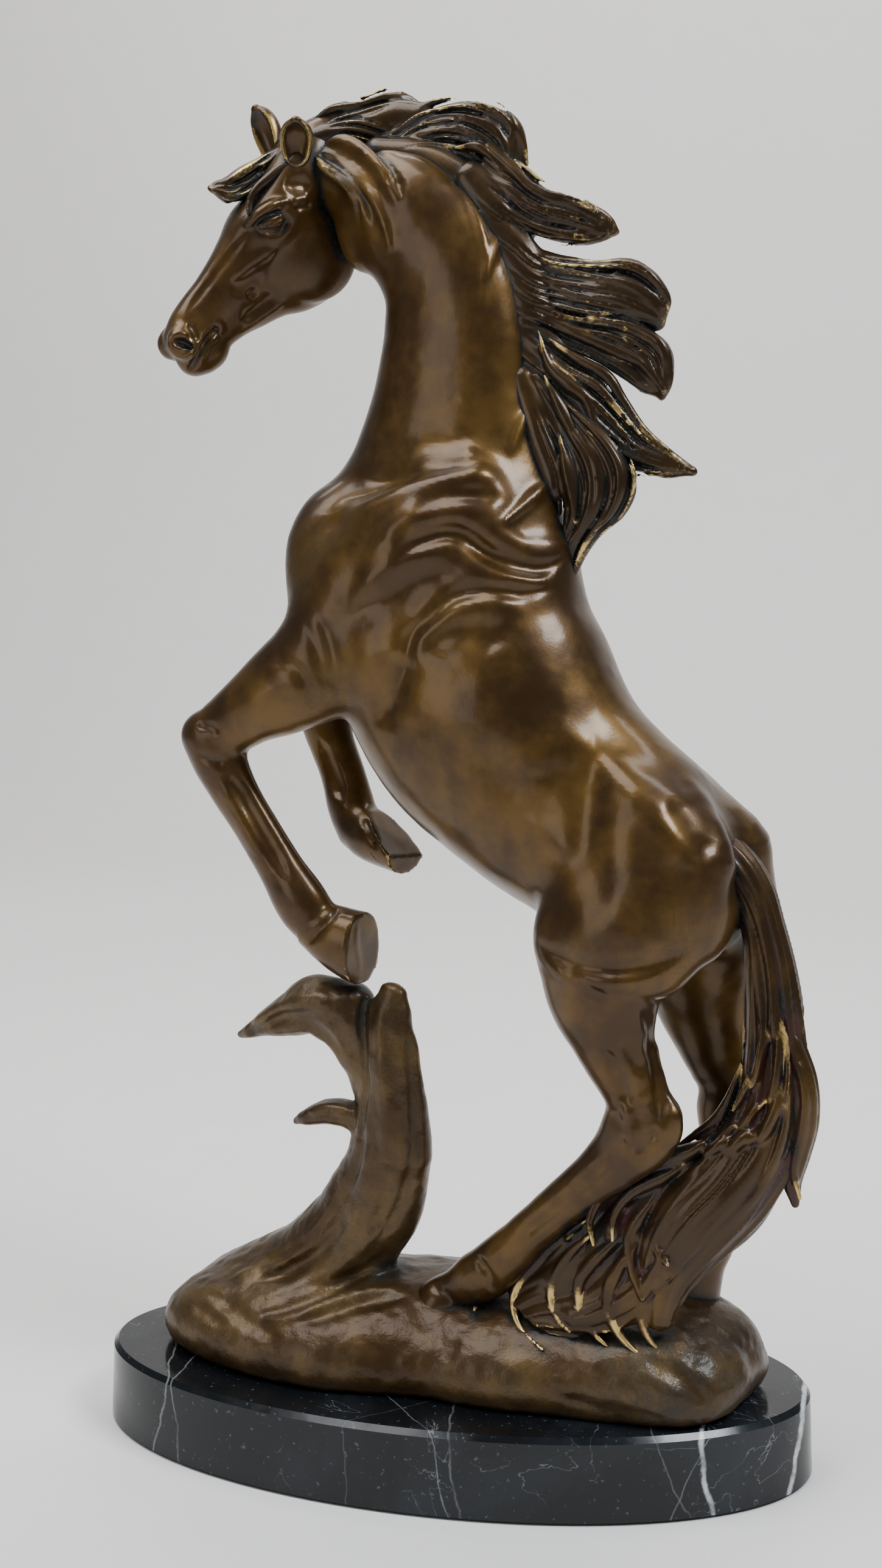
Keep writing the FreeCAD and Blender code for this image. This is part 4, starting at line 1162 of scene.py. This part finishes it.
def press_ground(clay):
    """Ridges and grooves that flow from the foot of the wave over the ground."""
    clay.press([
        ([(42.5, 76), (45.5, 70), (51, 62), (57, 56), (62.8, 52), (70, 49), (77.5, 45),
          (84, 42)], 2.0, 1.5),
        ([(24, 74), (26.7, 69), (32, 62.5), (39.5, 55.5), (48.5, 50), (58.5, 44.5), (68, 40), (78, 36)],
         2.2, 1.7),
        ([(17, 52), (24, 51), (31, 49), (40, 45), (49, 40.5), (60, 35), (72, 31)], 2.2, 1.3),
        ([(29, 104), (29.6, 90), (31, 80), (35, 70), (41, 62)], 2.4, 0.9),
    ], plane=22.0, allow=40.0, taper=0.3)
    clay.press([
        ([(36, 82), (38.5, 73), (42, 65), (48.5, 57.5), (57, 51.6), (66, 46.6), (76, 41.6)], 1.8, 2.0),
        ([(22, 66), (26, 60.5), (33, 54), (41, 48.5), (51, 42.5), (62, 37), (74, 32.5)], 1.8, 2.0),
        ([(30, 106), (33, 91), (38, 79), (45, 68), (54, 59.6), (66, 52.4), (80, 46)], 1.6, 1.4),
        ([(14, 50), (22, 48.4), (31, 45.4), (41, 40.5), (50, 36.6), (58, 32.6)], 2.0, 1.2),
        ([(17, 50), (11, 46.4), (6, 42), (2.6, 36), (1.4, 29)], 3.4, 0.7),
        ([(24, 96), (24, 84), (26.5, 74), (30, 66)], 2.0, 1.2),
        ([(90, 38), (80, 34.5), (70, 30), (60, 27.6)], 2.0, 1.0),
        ([(96, 33), (88, 30), (80, 27.6)], 1.6, 0.7),
        ([(-58, 47), (-66, 44.5), (-74, 41), (-80, 36)], 2.4, 1.0),
        ([(-30, 30), (-42, 29.4), (-54, 29.4), (-66, 31)], 1.8, 0.8),
    ], plane=22.0, allow=40.0, taper=0.3, wider=1.2, higher=-1.3)


def press_wave(clay):
    """Grooves up the stem, the leaf and the under side of the crest."""
    clay.press([
        ([(71.3, 126.3), (66, 128.4), (58.5, 130.4), (51, 130.6), (45, 128.4), (41, 124),
          (38, 117)], 1.8, -1.3),
        ([(76, 125), (69, 129.8), (61, 134), (52, 136), (45, 134.4)], 2.0, 0.8),
        ([(34.6, 140), (35.6, 132), (35, 122), (34.4, 112), (35.6, 102), (37.4, 92)], 1.2, -2.2),
        ([(28.6, 138), (29.6, 126), (28.6, 114), (27, 102), (27.4, 90), (29, 80), (33, 68)], 2.4, 1.3),
        ([(20.4, 132), (19, 120), (18, 108), (18, 94), (20.4, 82), (24.6, 72), (31, 62)], 1.6, -1.4),
        ([(56, 99.6), (50, 102.4), (43, 103), (38, 101)], 1.3, 0.5),
        ([(57, 97.4), (50, 98.6), (43, 98.6)], 1.0, -0.6),
    ], plane=15.0, allow=40.0, taper=0.12)


def sculpt_ground():
    """The ground and the wave in one block; they are parted into castings later."""
    clay = Clay((-104, -48, 24), (112, 50, 150), GROUND_GRAIN)
    clay.add(mound_mesh(), 4)
    clay.add(ball((-46, 2, 35), (36, 22, 16), (1, 0, 0)), 16)
    clay.add(ball((-60, -14, 41), (18, 14, 10), (1, 0, 0)), 14)
    clay.add(limb(WAVE_STEM, step=1.5, sides=64), 8)
    clay.soften(4)
    clay.add(limb(WAVE_CREST, step=1.2, sides=64), 3)
    clay.add(ball((39, 16, 137.4), (7, 7, 5), (1, 0, 0)), 5)
    clay.add(limb(WAVE_LEAF, step=1.2, sides=64), 5)
    clay.add(limb(WAVE_CURL, step=1.0, sides=48), 2)
    clay.carve(limb(WAVE_DISH, step=1.2), 3)
    press_ground(clay)
    press_wave(clay)
    clay.roughen(6.0, 0.20, 3)
    clay.roughen(2.6, 0.11, 4)
    _, _, height = clay.places(whole(clay))
    clay.distance = np.maximum(clay.distance, GROUND_LEVEL + 0.05 - height)
    return clay


# ---- meshes ----
NEAR, MIDDLE, FAR = 1.0, 2.2, 4.0


def surface_normals(points, quads):
    """The direction out of the surface at each point."""
    across = points[quads[:, 2]] - points[quads[:, 0]]
    along = points[quads[:, 3]] - points[quads[:, 1]]
    faces = np.cross(across, along)
    normals = np.zeros_like(points)
    for corner in range(4):
        for axis in range(3):
            normals[:, axis] += np.bincount(quads[:, corner], faces[:, axis], len(points))
    return normals / np.maximum(np.linalg.norm(normals, axis=1, keepdims=True), 1e-9)


def depth_at(spots, clays, head_clays):
    """How far places in the horse's frame are from the nearest bronze."""
    found = np.full(len(spots), 50.0)
    for clay in clays:
        found = np.minimum(found, clay.sample(spots))
    in_head = to_head(spots)
    for clay in head_clays:
        found = np.minimum(found, clay.sample(in_head))
    return found


def recess_and_ridge(points, normals, clays, head_clays):
    """Two numbers from 0 to 1 for each point: how deep it lies in a groove, how sharp its ridge is."""
    recess = np.zeros(len(points))
    ridge = np.zeros(len(points))
    for reach, weight in ((NEAR, 0.3), (MIDDLE, 0.4), (FAR, 0.3)):
        gap = depth_at(points + normals * reach, clays, head_clays)
        recess += weight * np.clip(1 - gap / min(reach, 4.0), 0, 1)
    for reach, weight in ((NEAR, 0.6), (MIDDLE, 0.4)):
        solid = -depth_at(points - normals * reach, clays, head_clays)
        ridge += weight * np.clip(1 - solid / reach, 0, 1)
    return recess, ridge


def rubbed_along(points, normals, lines):
    """How much each point is rubbed to brass, from 0 to 1, on the faces turned toward the viewer's eye and
    above.

    lines holds the locks that stand proud: points along each, with the lock's radius there.
    Brass covers a lock out to half as far again as its radius, and not its first third.
    """
    rubbed = np.zeros(len(points))
    toward_eye_above = unit(EYE + [0, 0, 150] - points)
    # brass is kept to the faces that turn toward the viewer's eye and a little above it
    crown = np.clip((normals * toward_eye_above).sum(1) * 1.6 - 0.5, 0, 1)
    for line, radius in lines:
        near = ((points > line.min(0) - 3) & (points < line.max(0) + 3)).all(1)
        gaps = np.linalg.norm(points[near][:, None] - line[None], axis=2)
        nearest = gaps.argmin(1)
        away = gaps.min(1) / radius[nearest]
        held = np.clip((1.5 - away) * 3, 0, 1) * np.clip(nearest / len(line) * 4 - 1.4, 0, 1)
        rubbed[near] = np.maximum(rubbed[near], held * crown[near])
    return rubbed


def mesh_object(name, points, faces, normals, numbers):
    """A new object in the frame of the base, with its normals and its numbers for each point."""
    mesh = bpy.data.meshes.new(name)
    mesh.from_pydata([], [], [])
    mesh.vertices.add(len(points))
    mesh.vertices.foreach_set("co", (points * MM).astype(np.float32).ravel())
    mesh.loops.add(faces.size)
    mesh.loops.foreach_set("vertex_index", faces.astype(np.int32).ravel())
    mesh.polygons.add(len(faces))
    mesh.polygons.foreach_set("loop_start", np.arange(0, faces.size, faces.shape[1], dtype=np.int32))
    mesh.update(calc_edges=True)
    mesh.validate()
    mesh.shade_smooth()
    for label, values in numbers.items():
        layer = mesh.attributes.new(label, "FLOAT", "POINT")
        layer.data.foreach_set("value", values.astype(np.float32))
    layer = mesh.attributes.new("out", "FLOAT_VECTOR", "POINT")
    layer.data.foreach_set("vector", normals.astype(np.float32).ravel())
    made = bpy.data.objects.new(name, mesh)
    bpy.context.collection.objects.link(made)
    return made


# Where one block of clay is parted into castings: name, a place on the cut, the way out of what
# is left, and the box that the cut stays in; all in the horse's frame.
EVERYWHERE = ((-200, -200, -50), (200, 200, 500))
BODY_CUTS = [
    ("left_foreleg", (50, 22, 236), (0.82, 0.1, -0.55), ((20, 3, 130), (120, 50, 262))),
    ("right_foreleg", (46, -19, 243), (0.82, 0.1, -0.55), ((20, -50, 130), (120, -3, 262))),
    ("left_hind_leg", (-46, 19, 148), (0, 0, -1), ((-100, 0, 20), (60, 60, 160))),
    ("right_hind_leg", (-60, -19, 146), (0, 0, -1), ((-100, -60, 20), (60, 0, 160))),
    ("neck", (17, 0, 290), (-0.03, 0, 1), EVERYWHERE),
    ("hindquarters", (-24, 0, 201), (-0.72, 0, -0.69), EVERYWHERE),
]
GROUND_CUTS = [
    ("wave_curl", (37, 15, 98), (1, 0, 0), ((34, -50, 90), (120, 50, 107))),
    ("wave_crest", (33, 15, 106), (0.3, 0, 1), ((30.6, -50, 98), (120, 50, 160))),
    ("wave_leaf", (24, 15, 104), (0, 0, 1), ((-50, -50, 98), (120, 50, 160))),
    ("wave_stem", (34, 15, 52), (0, 0, 1), ((-20, -50, 46), (120, 50, 160))),
]


def cut_off(form, place, way, low, high):
    """Cuts the form with a plane inside a box; what lies beyond becomes a new form."""
    place = Vector(to_base(place)) * MM
    way = Vector(to_base(way) - to_base((0, 0, 0)))
    faces = list(form.faces)
    middles = from_base(np.array([face.calc_center_median() for face in faces]) / MM)
    inside = ((middles > low) & (middles < high)).all(1)
    held = [face for face, keep in zip(faces, inside) if keep]
    around = {vert for face in held for vert in face.verts} | {edge for face in held for edge in face.edges}
    bmesh.ops.bisect_plane(form, geom=held + list(around), plane_co=place, plane_no=way)
    beyond = form.copy()
    for bm, drop_beyond in ((form, True), (beyond, False)):
        faces = list(bm.faces)
        middles = np.array([face.calc_center_median() for face in faces])
        mine = from_base(middles / MM)
        past = (((mine > low) & (mine < high)).all(1)) & ((middles - np.array(place)) @ np.array(way) > 0)
        drop = [face for face, is_past in zip(faces, past) if is_past == drop_beyond]
        bmesh.ops.delete(bm, geom=drop, context="FACES")
        rim = [edge for edge in bm.edges if edge.is_boundary]
        caps = bmesh.ops.holes_fill(bm, edges=rim, sides=0)["faces"]
        for face in caps:
            face.smooth = False
    return beyond


def parted(whole_object, cuts):
    """Cuts castings off an object, and returns them by name."""
    form = bmesh.new()
    form.from_mesh(whole_object.data)
    made = {}
    for name, place, way, (low, high) in cuts:
        beyond = cut_off(form, place, way, low, high)
        mesh = bpy.data.meshes.new(name + "_bronze")
        beyond.to_mesh(mesh)
        beyond.free()
        made[name] = bpy.data.objects.new(name + "_bronze", mesh)
        bpy.context.collection.objects.link(made[name])
    form.to_mesh(whole_object.data)
    form.free()
    return made


def keep_shading(piece):
    """Uses the normals of the uncut surface, so that a cut doesn't show, and flat ones on a cap."""
    mesh = piece.data
    count = len(mesh.vertices)
    out = np.empty(count * 3, np.float32)
    mesh.attributes["out"].data.foreach_get("vector", out)
    corners = np.empty(len(mesh.loops), np.int32)
    mesh.loops.foreach_get("vertex_index", corners)
    normals = out.reshape(-1, 3)[corners]
    for face in mesh.polygons:
        if not face.use_smooth:
            normals[face.loop_start:face.loop_start + face.loop_total] = face.normal
    normals = normals / np.maximum(np.linalg.norm(normals, axis=1, keepdims=True), 1e-9)
    mesh.normals_split_custom_set(normals)
    mesh.attributes.remove(mesh.attributes["out"])


def make_castings():
    """Sculpts everything and returns the bronze objects by name."""
    body = sculpt_body()
    head = sculpt_head()
    ears = {name: sculpt_ear(name) for name in EARS}
    forelock = sculpt_forelock()
    locks = {name: sculpt_mane_lock(name) for name in MANE}
    ground = sculpt_ground()
    tail = sculpt_tail(ground)
    outer_lock = sculpt_outer_lock()
    in_horse = {"torso": body, "ground_mound": ground, "tail": tail, "tail_outer_lock": outer_lock, **locks}
    in_head = {"head": head, "forelock": forelock, **ears}
    castings = {}
    for name, clay in {**in_horse, **in_head}.items():
        points, quads = clay.mesh()
        if name in in_head:
            points = from_head(points)
        normals = surface_normals(points, quads)
        recess, ridge = recess_and_ridge(points, normals, in_horse.values(), in_head.values())
        polished = rubbed_along(points, normals, clay.rubbed)
        ridge = np.maximum(ridge, polished)
        recess = recess * (1 - 0.8 * polished)
        turned = to_base(normals) - to_base((0, 0, 0))
        castings[name] = mesh_object(name + "_bronze", to_base(points), quads, turned,
                                     {"recess": recess, "ridge": ridge})
    for name, cuts in (("torso", BODY_CUTS), ("ground_mound", GROUND_CUTS)):
        castings.update(parted(castings[name], cuts))
    for piece in castings.values():
        keep_shading(piece)
    return castings


# ---- materials ----
class Shader:
    """A node material under construction."""

    def __init__(self, name):
        self.material = bpy.data.materials.new(name)
        self.material.use_nodes = True
        self.nodes = self.material.node_tree.nodes
        self.links = self.material.node_tree.links
        self.bsdf = self.nodes["Principled BSDF"]
        self.object_place = self.nodes.new("ShaderNodeTexCoord").outputs["Object"]

    def set(self, **values):
        """Numbers that are the same all over the surface."""
        for name, value in values.items():
            self.bsdf.inputs[name.replace("_", " ")].default_value = value

    def join(self, socket, value):
        """Links a socket, or sets it to a plain value."""
        if isinstance(value, bpy.types.NodeSocket):
            self.links.new(value, socket)
        else:
            socket.default_value = value

    def noise(self, scale, detail=4.0, rough=0.55, warp=0.0, stretch=None):
        """Noise in the object's own space; scale is in features for each metre."""
        node = self.nodes.new("ShaderNodeTexNoise")
        node.inputs["Scale"].default_value = scale
        node.inputs["Detail"].default_value = detail
        node.inputs["Roughness"].default_value = rough
        node.inputs["Distortion"].default_value = warp
        place = self.object_place
        if stretch is not None:
            mapping = self.nodes.new("ShaderNodeMapping")
            mapping.inputs["Scale"].default_value = stretch
            self.links.new(place, mapping.inputs["Vector"])
            place = mapping.outputs["Vector"]
        self.links.new(place, node.inputs["Vector"])
        return node.outputs["Fac"]

    def number(self, name):
        """A number stored on the mesh for each point."""
        node = self.nodes.new("ShaderNodeAttribute")
        node.attribute_name = name
        return node.outputs["Fac"]

    def math(self, operation, first, second=0.0):
        """Arithmetic on two values."""
        node = self.nodes.new("ShaderNodeMath")
        node.operation = operation
        self.join(node.inputs[0], first)
        self.join(node.inputs[1], second)
        return node.outputs[0]

    def times(self, first, second):
        """The product of two values."""
        return self.math("MULTIPLY", first, second)

    def plus(self, first, second):
        """The sum of two values."""
        return self.math("ADD", first, second)

    def span(self, value, low, high, to_low=0.0, to_high=1.0):
        """A value brought from one range to another, softly and clamped."""
        node = self.nodes.new("ShaderNodeMapRange")
        node.interpolation_type = "SMOOTHSTEP"
        self.join(node.inputs["Value"], value)
        node.inputs["From Min"].default_value = low
        node.inputs["From Max"].default_value = high
        node.inputs["To Min"].default_value = to_low
        node.inputs["To Max"].default_value = to_high
        return node.outputs["Result"]

    def mix(self, share, first, second):
        """Two colours mixed by a share."""
        node = self.nodes.new("ShaderNodeMix")
        node.data_type = "RGBA"
        self.join(node.inputs["Factor"], share)
        for socket, value in ((node.inputs[6], first), (node.inputs[7], second)):
            if isinstance(value, tuple):
                value = (*value, 1.0)
            self.join(socket, value)
        return node.outputs[2]

    def bump(self, height, strength, distance):
        """Fine relief on the surface; can be called again to add another layer."""
        node = self.nodes.new("ShaderNodeBump")
        node.inputs["Strength"].default_value = strength
        node.inputs["Distance"].default_value = distance
        self.links.new(height, node.inputs["Height"])
        socket = self.bsdf.inputs["Normal"]
        if socket.links:
            self.links.new(socket.links[0].from_socket, node.inputs["Normal"])
        self.links.new(node.outputs["Normal"], socket)
        self.links.new(node.outputs["Normal"], self.bsdf.inputs["Coat Normal"])


# near black: the dark wax of the patina, and the painted shade in grooves and between castings
DARK_PATINA_AND_SHADE = (0.007, 0.006, 0.004)
BROWN_PATINA = (0.045, 0.0212, 0.0050)
GOLDEN_PATINA = (0.112, 0.059, 0.0108)
RUBBED_BRASS = (0.60, 0.42, 0.15)
RED_DUST = (0.060, 0.014, 0.010)
GREEN_DUST = (0.034, 0.036, 0.027)
# pale grey, painted on the rough ground as a sheen
PAINTED_GREY_SHEEN = (0.135, 0.118, 0.082)


def bronze(name, dark=0.0, rubbed=1.0, rough_cast=0.0, red=0.0, gloss=0.35, hidden=0.0):
    """Brown patina over cast bronze: dark wax and painted shade in the grooves, rubbed to brass on the
    ridges.

    dark and red deepen the patina, rubbed scales the brass and hidden keeps it to the sharpest
    ridges, rough_cast roughens the surface and paints a grey sheen on it, and gloss is the wax on it.
    """
    shader = Shader(name)
    recess = shader.number("recess")
    ridge = shader.number("ridge")
    broad = shader.noise(28, 3.0, 0.5)
    cloudy = shader.noise(110, 5.0, 0.6)
    fine = shader.noise(900, 4.0, 0.6)
    cloud_shift = shader.math("SUBTRACT", cloudy, 0.5)
    # golden where the patina is thin, brown elsewhere
    thin = shader.plus(shader.times(broad, 0.6), shader.times(cloudy, 0.4))
    thin = shader.span(thin, 0.40 + 0.1 * dark, 0.66 + 0.1 * dark)
    colour = shader.mix(thin, BROWN_PATINA, GOLDEN_PATINA)
    if dark:
        colour = shader.mix(0.5 * dark, colour, DARK_PATINA_AND_SHADE)
    # dark wax in the grooves, and painted shade in crevices and between castings, broken up by the grain of
    # the casting
    depth = shader.plus(recess, shader.times(cloud_shift, 0.2))
    groove = shader.span(depth, 0.10 - 0.04 * dark, 0.58 - 0.18 * dark)
    colour = shader.mix(groove, colour, DARK_PATINA_AND_SHADE)
    dust = shader.times(shader.span(recess, 0.35, 0.75), shader.span(fine, 0.45, 0.62))
    colour = shader.mix(shader.times(dust, 0.5), colour, GREEN_DUST)
    if red:
        stain = shader.times(shader.span(recess, 0.15, 0.5), shader.span(cloudy, 0.42, 0.6))
        colour = shader.mix(shader.times(stain, red), colour, RED_DUST)
    if rough_cast:
        # painted sheen: grey patches on the rough ground that stand in for cool highlights
        painted_sheen = shader.times(shader.span(broad, 0.36, 0.62, 0.02, 0.24), rough_cast)
        painted_sheen = shader.times(painted_sheen, shader.span(fine, 0.3, 0.7, 0.4, 1.0))
        colour = shader.mix(painted_sheen, colour, PAINTED_GREY_SHEEN)
    # brass shows on the ridges, with a broken border
    worn = shader.plus(ridge, shader.times(cloud_shift, 0.18))
    worn = shader.math("SUBTRACT", worn, shader.times(recess, 0.8))
    worn = shader.times(shader.span(worn, 0.34 + hidden, 0.74 + hidden), rubbed)
    colour = shader.mix(worn, colour, RUBBED_BRASS)
    shader.links.new(colour, shader.bsdf.inputs["Base Color"])
    rough = shader.plus(shader.times(groove, 0.20), shader.times(cloudy, 0.22))
    rough = shader.plus(rough, 0.26 + 0.08 * rough_cast)
    shader.links.new(rough, shader.bsdf.inputs["Roughness"])
    metal = shader.plus(0.60, shader.times(worn, 0.38))
    metal = shader.times(metal, shader.span(groove, 0.0, 1.0, 1.0, 0.3))
    shader.links.new(metal, shader.bsdf.inputs["Metallic"])
    shader.set(Coat_Weight=gloss, Coat_Roughness=0.16, Coat_IOR=1.5, Specular_IOR_Level=0.25)
    shader.bump(cloudy, 0.10, 0.0005)
    shader.bump(fine, 0.14 + 0.14 * rough_cast, 0.00016)
    if rough_cast:
        shader.bump(shader.noise(240, 5.0, 0.65), 0.34 * rough_cast, 0.0008)
    return shader.material


# Veins of the marble: where each crosses the middle, its slant, half width, strength, all along x.
VEINS = [
    (0.0815, 0.02, 0.10, 0.0006, 0.80), (0.1045, -0.05, -0.12, 0.0007, 0.85),
    (0.011, 0.05, 0.15, 0.0003, 0.12),
    (-0.072, -0.1, 0.12, 0.0003, 0.18), (0.060, 0.3, -0.5, 0.00025, 0.14),
    (0.068, 0.25, 0.45, 0.00025, 0.10),
    (-0.035, 0.9, 0.2, 0.0002, 0.16), (0.040, -1.2, 0.1, 0.0002, 0.06), (-0.095, 0.3, -0.2, 0.0003, 0.22),
]


def marble():
    """Polished black marble with white veins, grey clouds and fine specks."""
    shader = Shader("black_marble")
    cloud = shader.noise(18, 6.0, 0.62, 0.6)
    colour = shader.mix(shader.span(cloud, 0.45, 0.72), (0.004, 0.005, 0.006), (0.013, 0.016, 0.020))
    specks = shader.span(shader.noise(640, 2.0, 0.5), 0.66, 0.74, 0.0, 0.35)
    colour = shader.mix(specks, colour, (0.16, 0.17, 0.18))
    axes = shader.nodes.new("ShaderNodeSeparateXYZ")
    shader.links.new(shader.object_place, axes.inputs[0])
    sway = shader.times(shader.math("SUBTRACT", shader.noise(38, 5.0, 0.6), 0.5), 0.007)
    frayed = shader.span(shader.noise(150, 3.0, 0.6), 0.30, 0.60, 0.35, 1.0)
    for middle, along_y, along_z, width, strength in VEINS:
        place = shader.plus(axes.outputs[0], sway)
        place = shader.plus(place, shader.times(axes.outputs[1], along_y))
        place = shader.plus(place, shader.times(axes.outputs[2], along_z))
        away = shader.math("ABSOLUTE", shader.math("SUBTRACT", place, middle))
        vein = shader.span(away, width * 0.3, width * 1.6, strength, 0.0)
        colour = shader.mix(shader.times(vein, frayed), colour, (0.66, 0.68, 0.70))
    hair = shader.math("ABSOLUTE", shader.math("SUBTRACT", shader.noise(34, 5.0, 0.5, 0.4), 0.56))
    hair = shader.times(shader.span(hair, 0.0, 0.003, 0.22, 0.0), shader.span(cloud, 0.5, 0.6))
    colour = shader.mix(hair, colour, (0.5, 0.52, 0.54))
    shader.links.new(colour, shader.bsdf.inputs["Base Color"])
    smears = shader.noise(60, 5.0, 0.65)
    shader.links.new(shader.span(smears, 0.35, 0.75, 0.10, 0.28), shader.bsdf.inputs["Roughness"])
    shader.set(IOR=1.5, Specular_IOR_Level=0.35)
    shader.bump(shader.noise(420, 3.0), 0.03, 0.0002)
    return shader.material


def felt():
    """Dark wool felt with a loose nap."""
    shader = Shader("felt")
    fibres = shader.noise(1500, 6.0, 0.75, 1.5)
    tufts = shader.noise(240, 4.0, 0.6)
    colour = shader.mix(shader.span(fibres, 0.35, 0.7), (0.007, 0.010, 0.008), (0.035, 0.045, 0.038))
    colour = shader.mix(shader.span(tufts, 0.5, 0.8, 0.0, 0.35), colour, (0.05, 0.055, 0.05))
    shader.links.new(colour, shader.bsdf.inputs["Base Color"])
    shader.links.new(shader.span(tufts, 0.3, 0.7, 0.88, 1.0), shader.bsdf.inputs["Roughness"])
    shader.set(Sheen_Weight=0.35, Sheen_Roughness=0.5)
    shader.bump(fibres, 0.6, 0.0006)
    return shader.material


def zinc():
    """Zinc plate with fine turning marks and dull patches."""
    shader = Shader("zinc_plate")
    dull = shader.noise(220, 4.0, 0.6)
    marks = shader.noise(120, 3.0, 0.6, 0.0, (1, 1, 22))
    colour = shader.mix(shader.span(dull, 0.4, 0.65), (0.56, 0.56, 0.53), (0.38, 0.37, 0.34))
    shader.links.new(colour, shader.bsdf.inputs["Base Color"])
    shader.links.new(shader.span(dull, 0.3, 0.7, 0.26, 0.48), shader.bsdf.inputs["Roughness"])
    shader.set(Metallic=1.0)
    shader.bump(marks, 0.25, 0.0001)
    return shader.material


def paint(piece, material):
    """Gives a piece one material."""
    piece.data.materials.clear()
    piece.data.materials.append(material)


# ---- the photograph's stage ----
def plain(name, colour, rough):
    """A quiet matt surface with a little grain."""
    shader = Shader(name)
    grain = shader.noise(35, 4.0, 0.6)
    lighter = tuple(min(1.0, part * 1.06) for part in colour)
    shader.links.new(shader.mix(grain, colour, lighter), shader.bsdf.inputs["Base Color"])
    shader.set(Roughness=rough)
    return shader.material


# The floor runs this far to each side and forward; behind the statue it turns up into a backdrop.
FLOOR_REACH = 4.0
BACKDROP_START = 1.1
BACKDROP_CURVE = 0.5
BACKDROP_TOP = 2.2


def make_floor():
    """A pale floor that turns up into a backdrop."""
    profile = [(-FLOOR_REACH, 0.0), (BACKDROP_START, 0.0)]
    profile += [(BACKDROP_START + BACKDROP_CURVE * math.sin(t), BACKDROP_CURVE - BACKDROP_CURVE * math.cos(t))
                for t in np.radians(range(6, 91, 6))]
    profile += [(BACKDROP_START + BACKDROP_CURVE, BACKDROP_TOP)]
    form = bmesh.new()
    rows = [[form.verts.new((x, y, z)) for y, z in profile] for x in (-FLOOR_REACH, FLOOR_REACH)]
    for number in range(len(profile) - 1):
        form.faces.new((rows[0][number], rows[1][number], rows[1][number + 1], rows[0][number + 1]))
    mesh = bpy.data.meshes.new("floor")
    form.to_mesh(mesh)
    form.free()
    mesh.shade_smooth()
    floor = bpy.data.objects.new("floor", mesh)
    bpy.context.collection.objects.link(floor)
    paint(floor, plain("pale_floor", (0.78, 0.76, 0.74), 0.7))


def aimed(thing, place, target):
    """Puts a light or a camera at a place, looking at a target."""
    thing.location = place
    thing.rotation_euler = (Vector(target) - Vector(place)).to_track_quat("-Z", "Y").to_euler()


STATUE_MIDDLE = (0, 0, 0.2)
# Each lamp: name, place, size, watts, colour, and what it faces.
LAMPS = [
    ("window", (0.75, -0.35, 1.15), (0.5, 0.36), 15.0, (0.90, 0.95, 1.0), STATUE_MIDDLE),
    ("ceiling", (-0.4, -0.3, 1.3), (0.8, 0.8), 14.0, (0.95, 0.97, 1.0), STATUE_MIDDLE),
    ("front_fill", (-0.9, -1.1, 0.5), (0.5, 0.9), 3.5, (1.0, 0.97, 0.92), STATUE_MIDDLE),
    ("backdrop_lamp", (0.0, 0.55, 1.7), (2.4, 0.4), 26.0, (1.0, 0.98, 0.95), (0.0, 1.5, 0.2)),
]
ROOM_COLOUR = (0.80, 0.88, 1.0, 1)
ROOM_STRENGTH = 0.22


def soft_light(name, place, size, power, colour, target):
    """A broad lamp that faces a target."""
    data = bpy.data.lights.new(name, "AREA")
    data.shape = "RECTANGLE"
    data.size, data.size_y = size
    data.energy = power
    data.color = colour
    lamp = bpy.data.objects.new(name, data)
    bpy.context.collection.objects.link(lamp)
    aimed(lamp, place, target)


CAMERA_PLACE = (0.1104, -0.5114, 0.2608)
CAMERA_TARGET = (-0.003, 0.0, 0.203)
CAMERA_LENS = 40.53
CAMERA_SENSOR = 36.0


def make_camera():
    """The camera stands where the photographer stood."""
    data = bpy.data.cameras.new("camera")
    data.lens = CAMERA_LENS
    data.sensor_width = CAMERA_SENSOR
    camera = bpy.data.objects.new("camera", data)
    bpy.context.collection.objects.link(camera)
    aimed(camera, CAMERA_PLACE, CAMERA_TARGET)
    data.clip_start = 0.01
    bpy.context.scene.camera = camera


def make_light():
    """Soft daylight from the upper right, a weak fill from the left, and a dim room around."""
    world = bpy.data.worlds.new("room")
    world.use_nodes = True
    background = world.node_tree.nodes["Background"]
    background.inputs["Color"].default_value = ROOM_COLOUR
    background.inputs["Strength"].default_value = ROOM_STRENGTH
    bpy.context.scene.world = world
    for row in LAMPS:
        soft_light(*row)


SMOOTH_CASTINGS = ("torso", "hindquarters", "neck", "left_foreleg", "right_foreleg", "left_hind_leg",
                   "right_hind_leg", "head", "left_ear", "right_ear")
WAVE_CASTINGS = ("ground_mound", "wave_stem", "wave_leaf", "wave_crest", "wave_curl")


def finish_castings(castings):
    """Patinas the bronze and puts each casting in the place of its CAD node."""
    body_bronze = bronze("bronze_body")
    hair_bronze = bronze("bronze_hair", dark=0.7)
    tail_bronze = bronze("bronze_tail", dark=0.35, red=0.7, hidden=0.08)
    ground_bronze = bronze("bronze_ground", dark=0.15, rubbed=0.5, rough_cast=1.0, gloss=0.25)
    for name, piece in castings.items():
        if name in SMOOTH_CASTINGS:
            paint(piece, body_bronze)
        elif name in WAVE_CASTINGS:
            paint(piece, ground_bronze)
        elif name.startswith("tail"):
            paint(piece, tail_bronze)
        else:
            paint(piece, hair_bronze)
        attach(piece, "root")
        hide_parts(name)


def finish_cad_nodes():
    """Materials for the CAD nodes that stay."""
    paint(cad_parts["marble_base"], marble())
    paint(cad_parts["felt_pad"], felt())
    fasteners = zinc()
    for name in ("mounting_studs", "mounting_washers", "mounting_nuts"):
        paint(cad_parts[name], fasteners)
    bosses = bronze("bronze_boss", dark=1.0)
    paint(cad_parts["stud_bosses"], bosses)


finish_castings(make_castings())
finish_cad_nodes()
make_floor()
make_light()
make_camera()

bpy.context.view_layer.update()
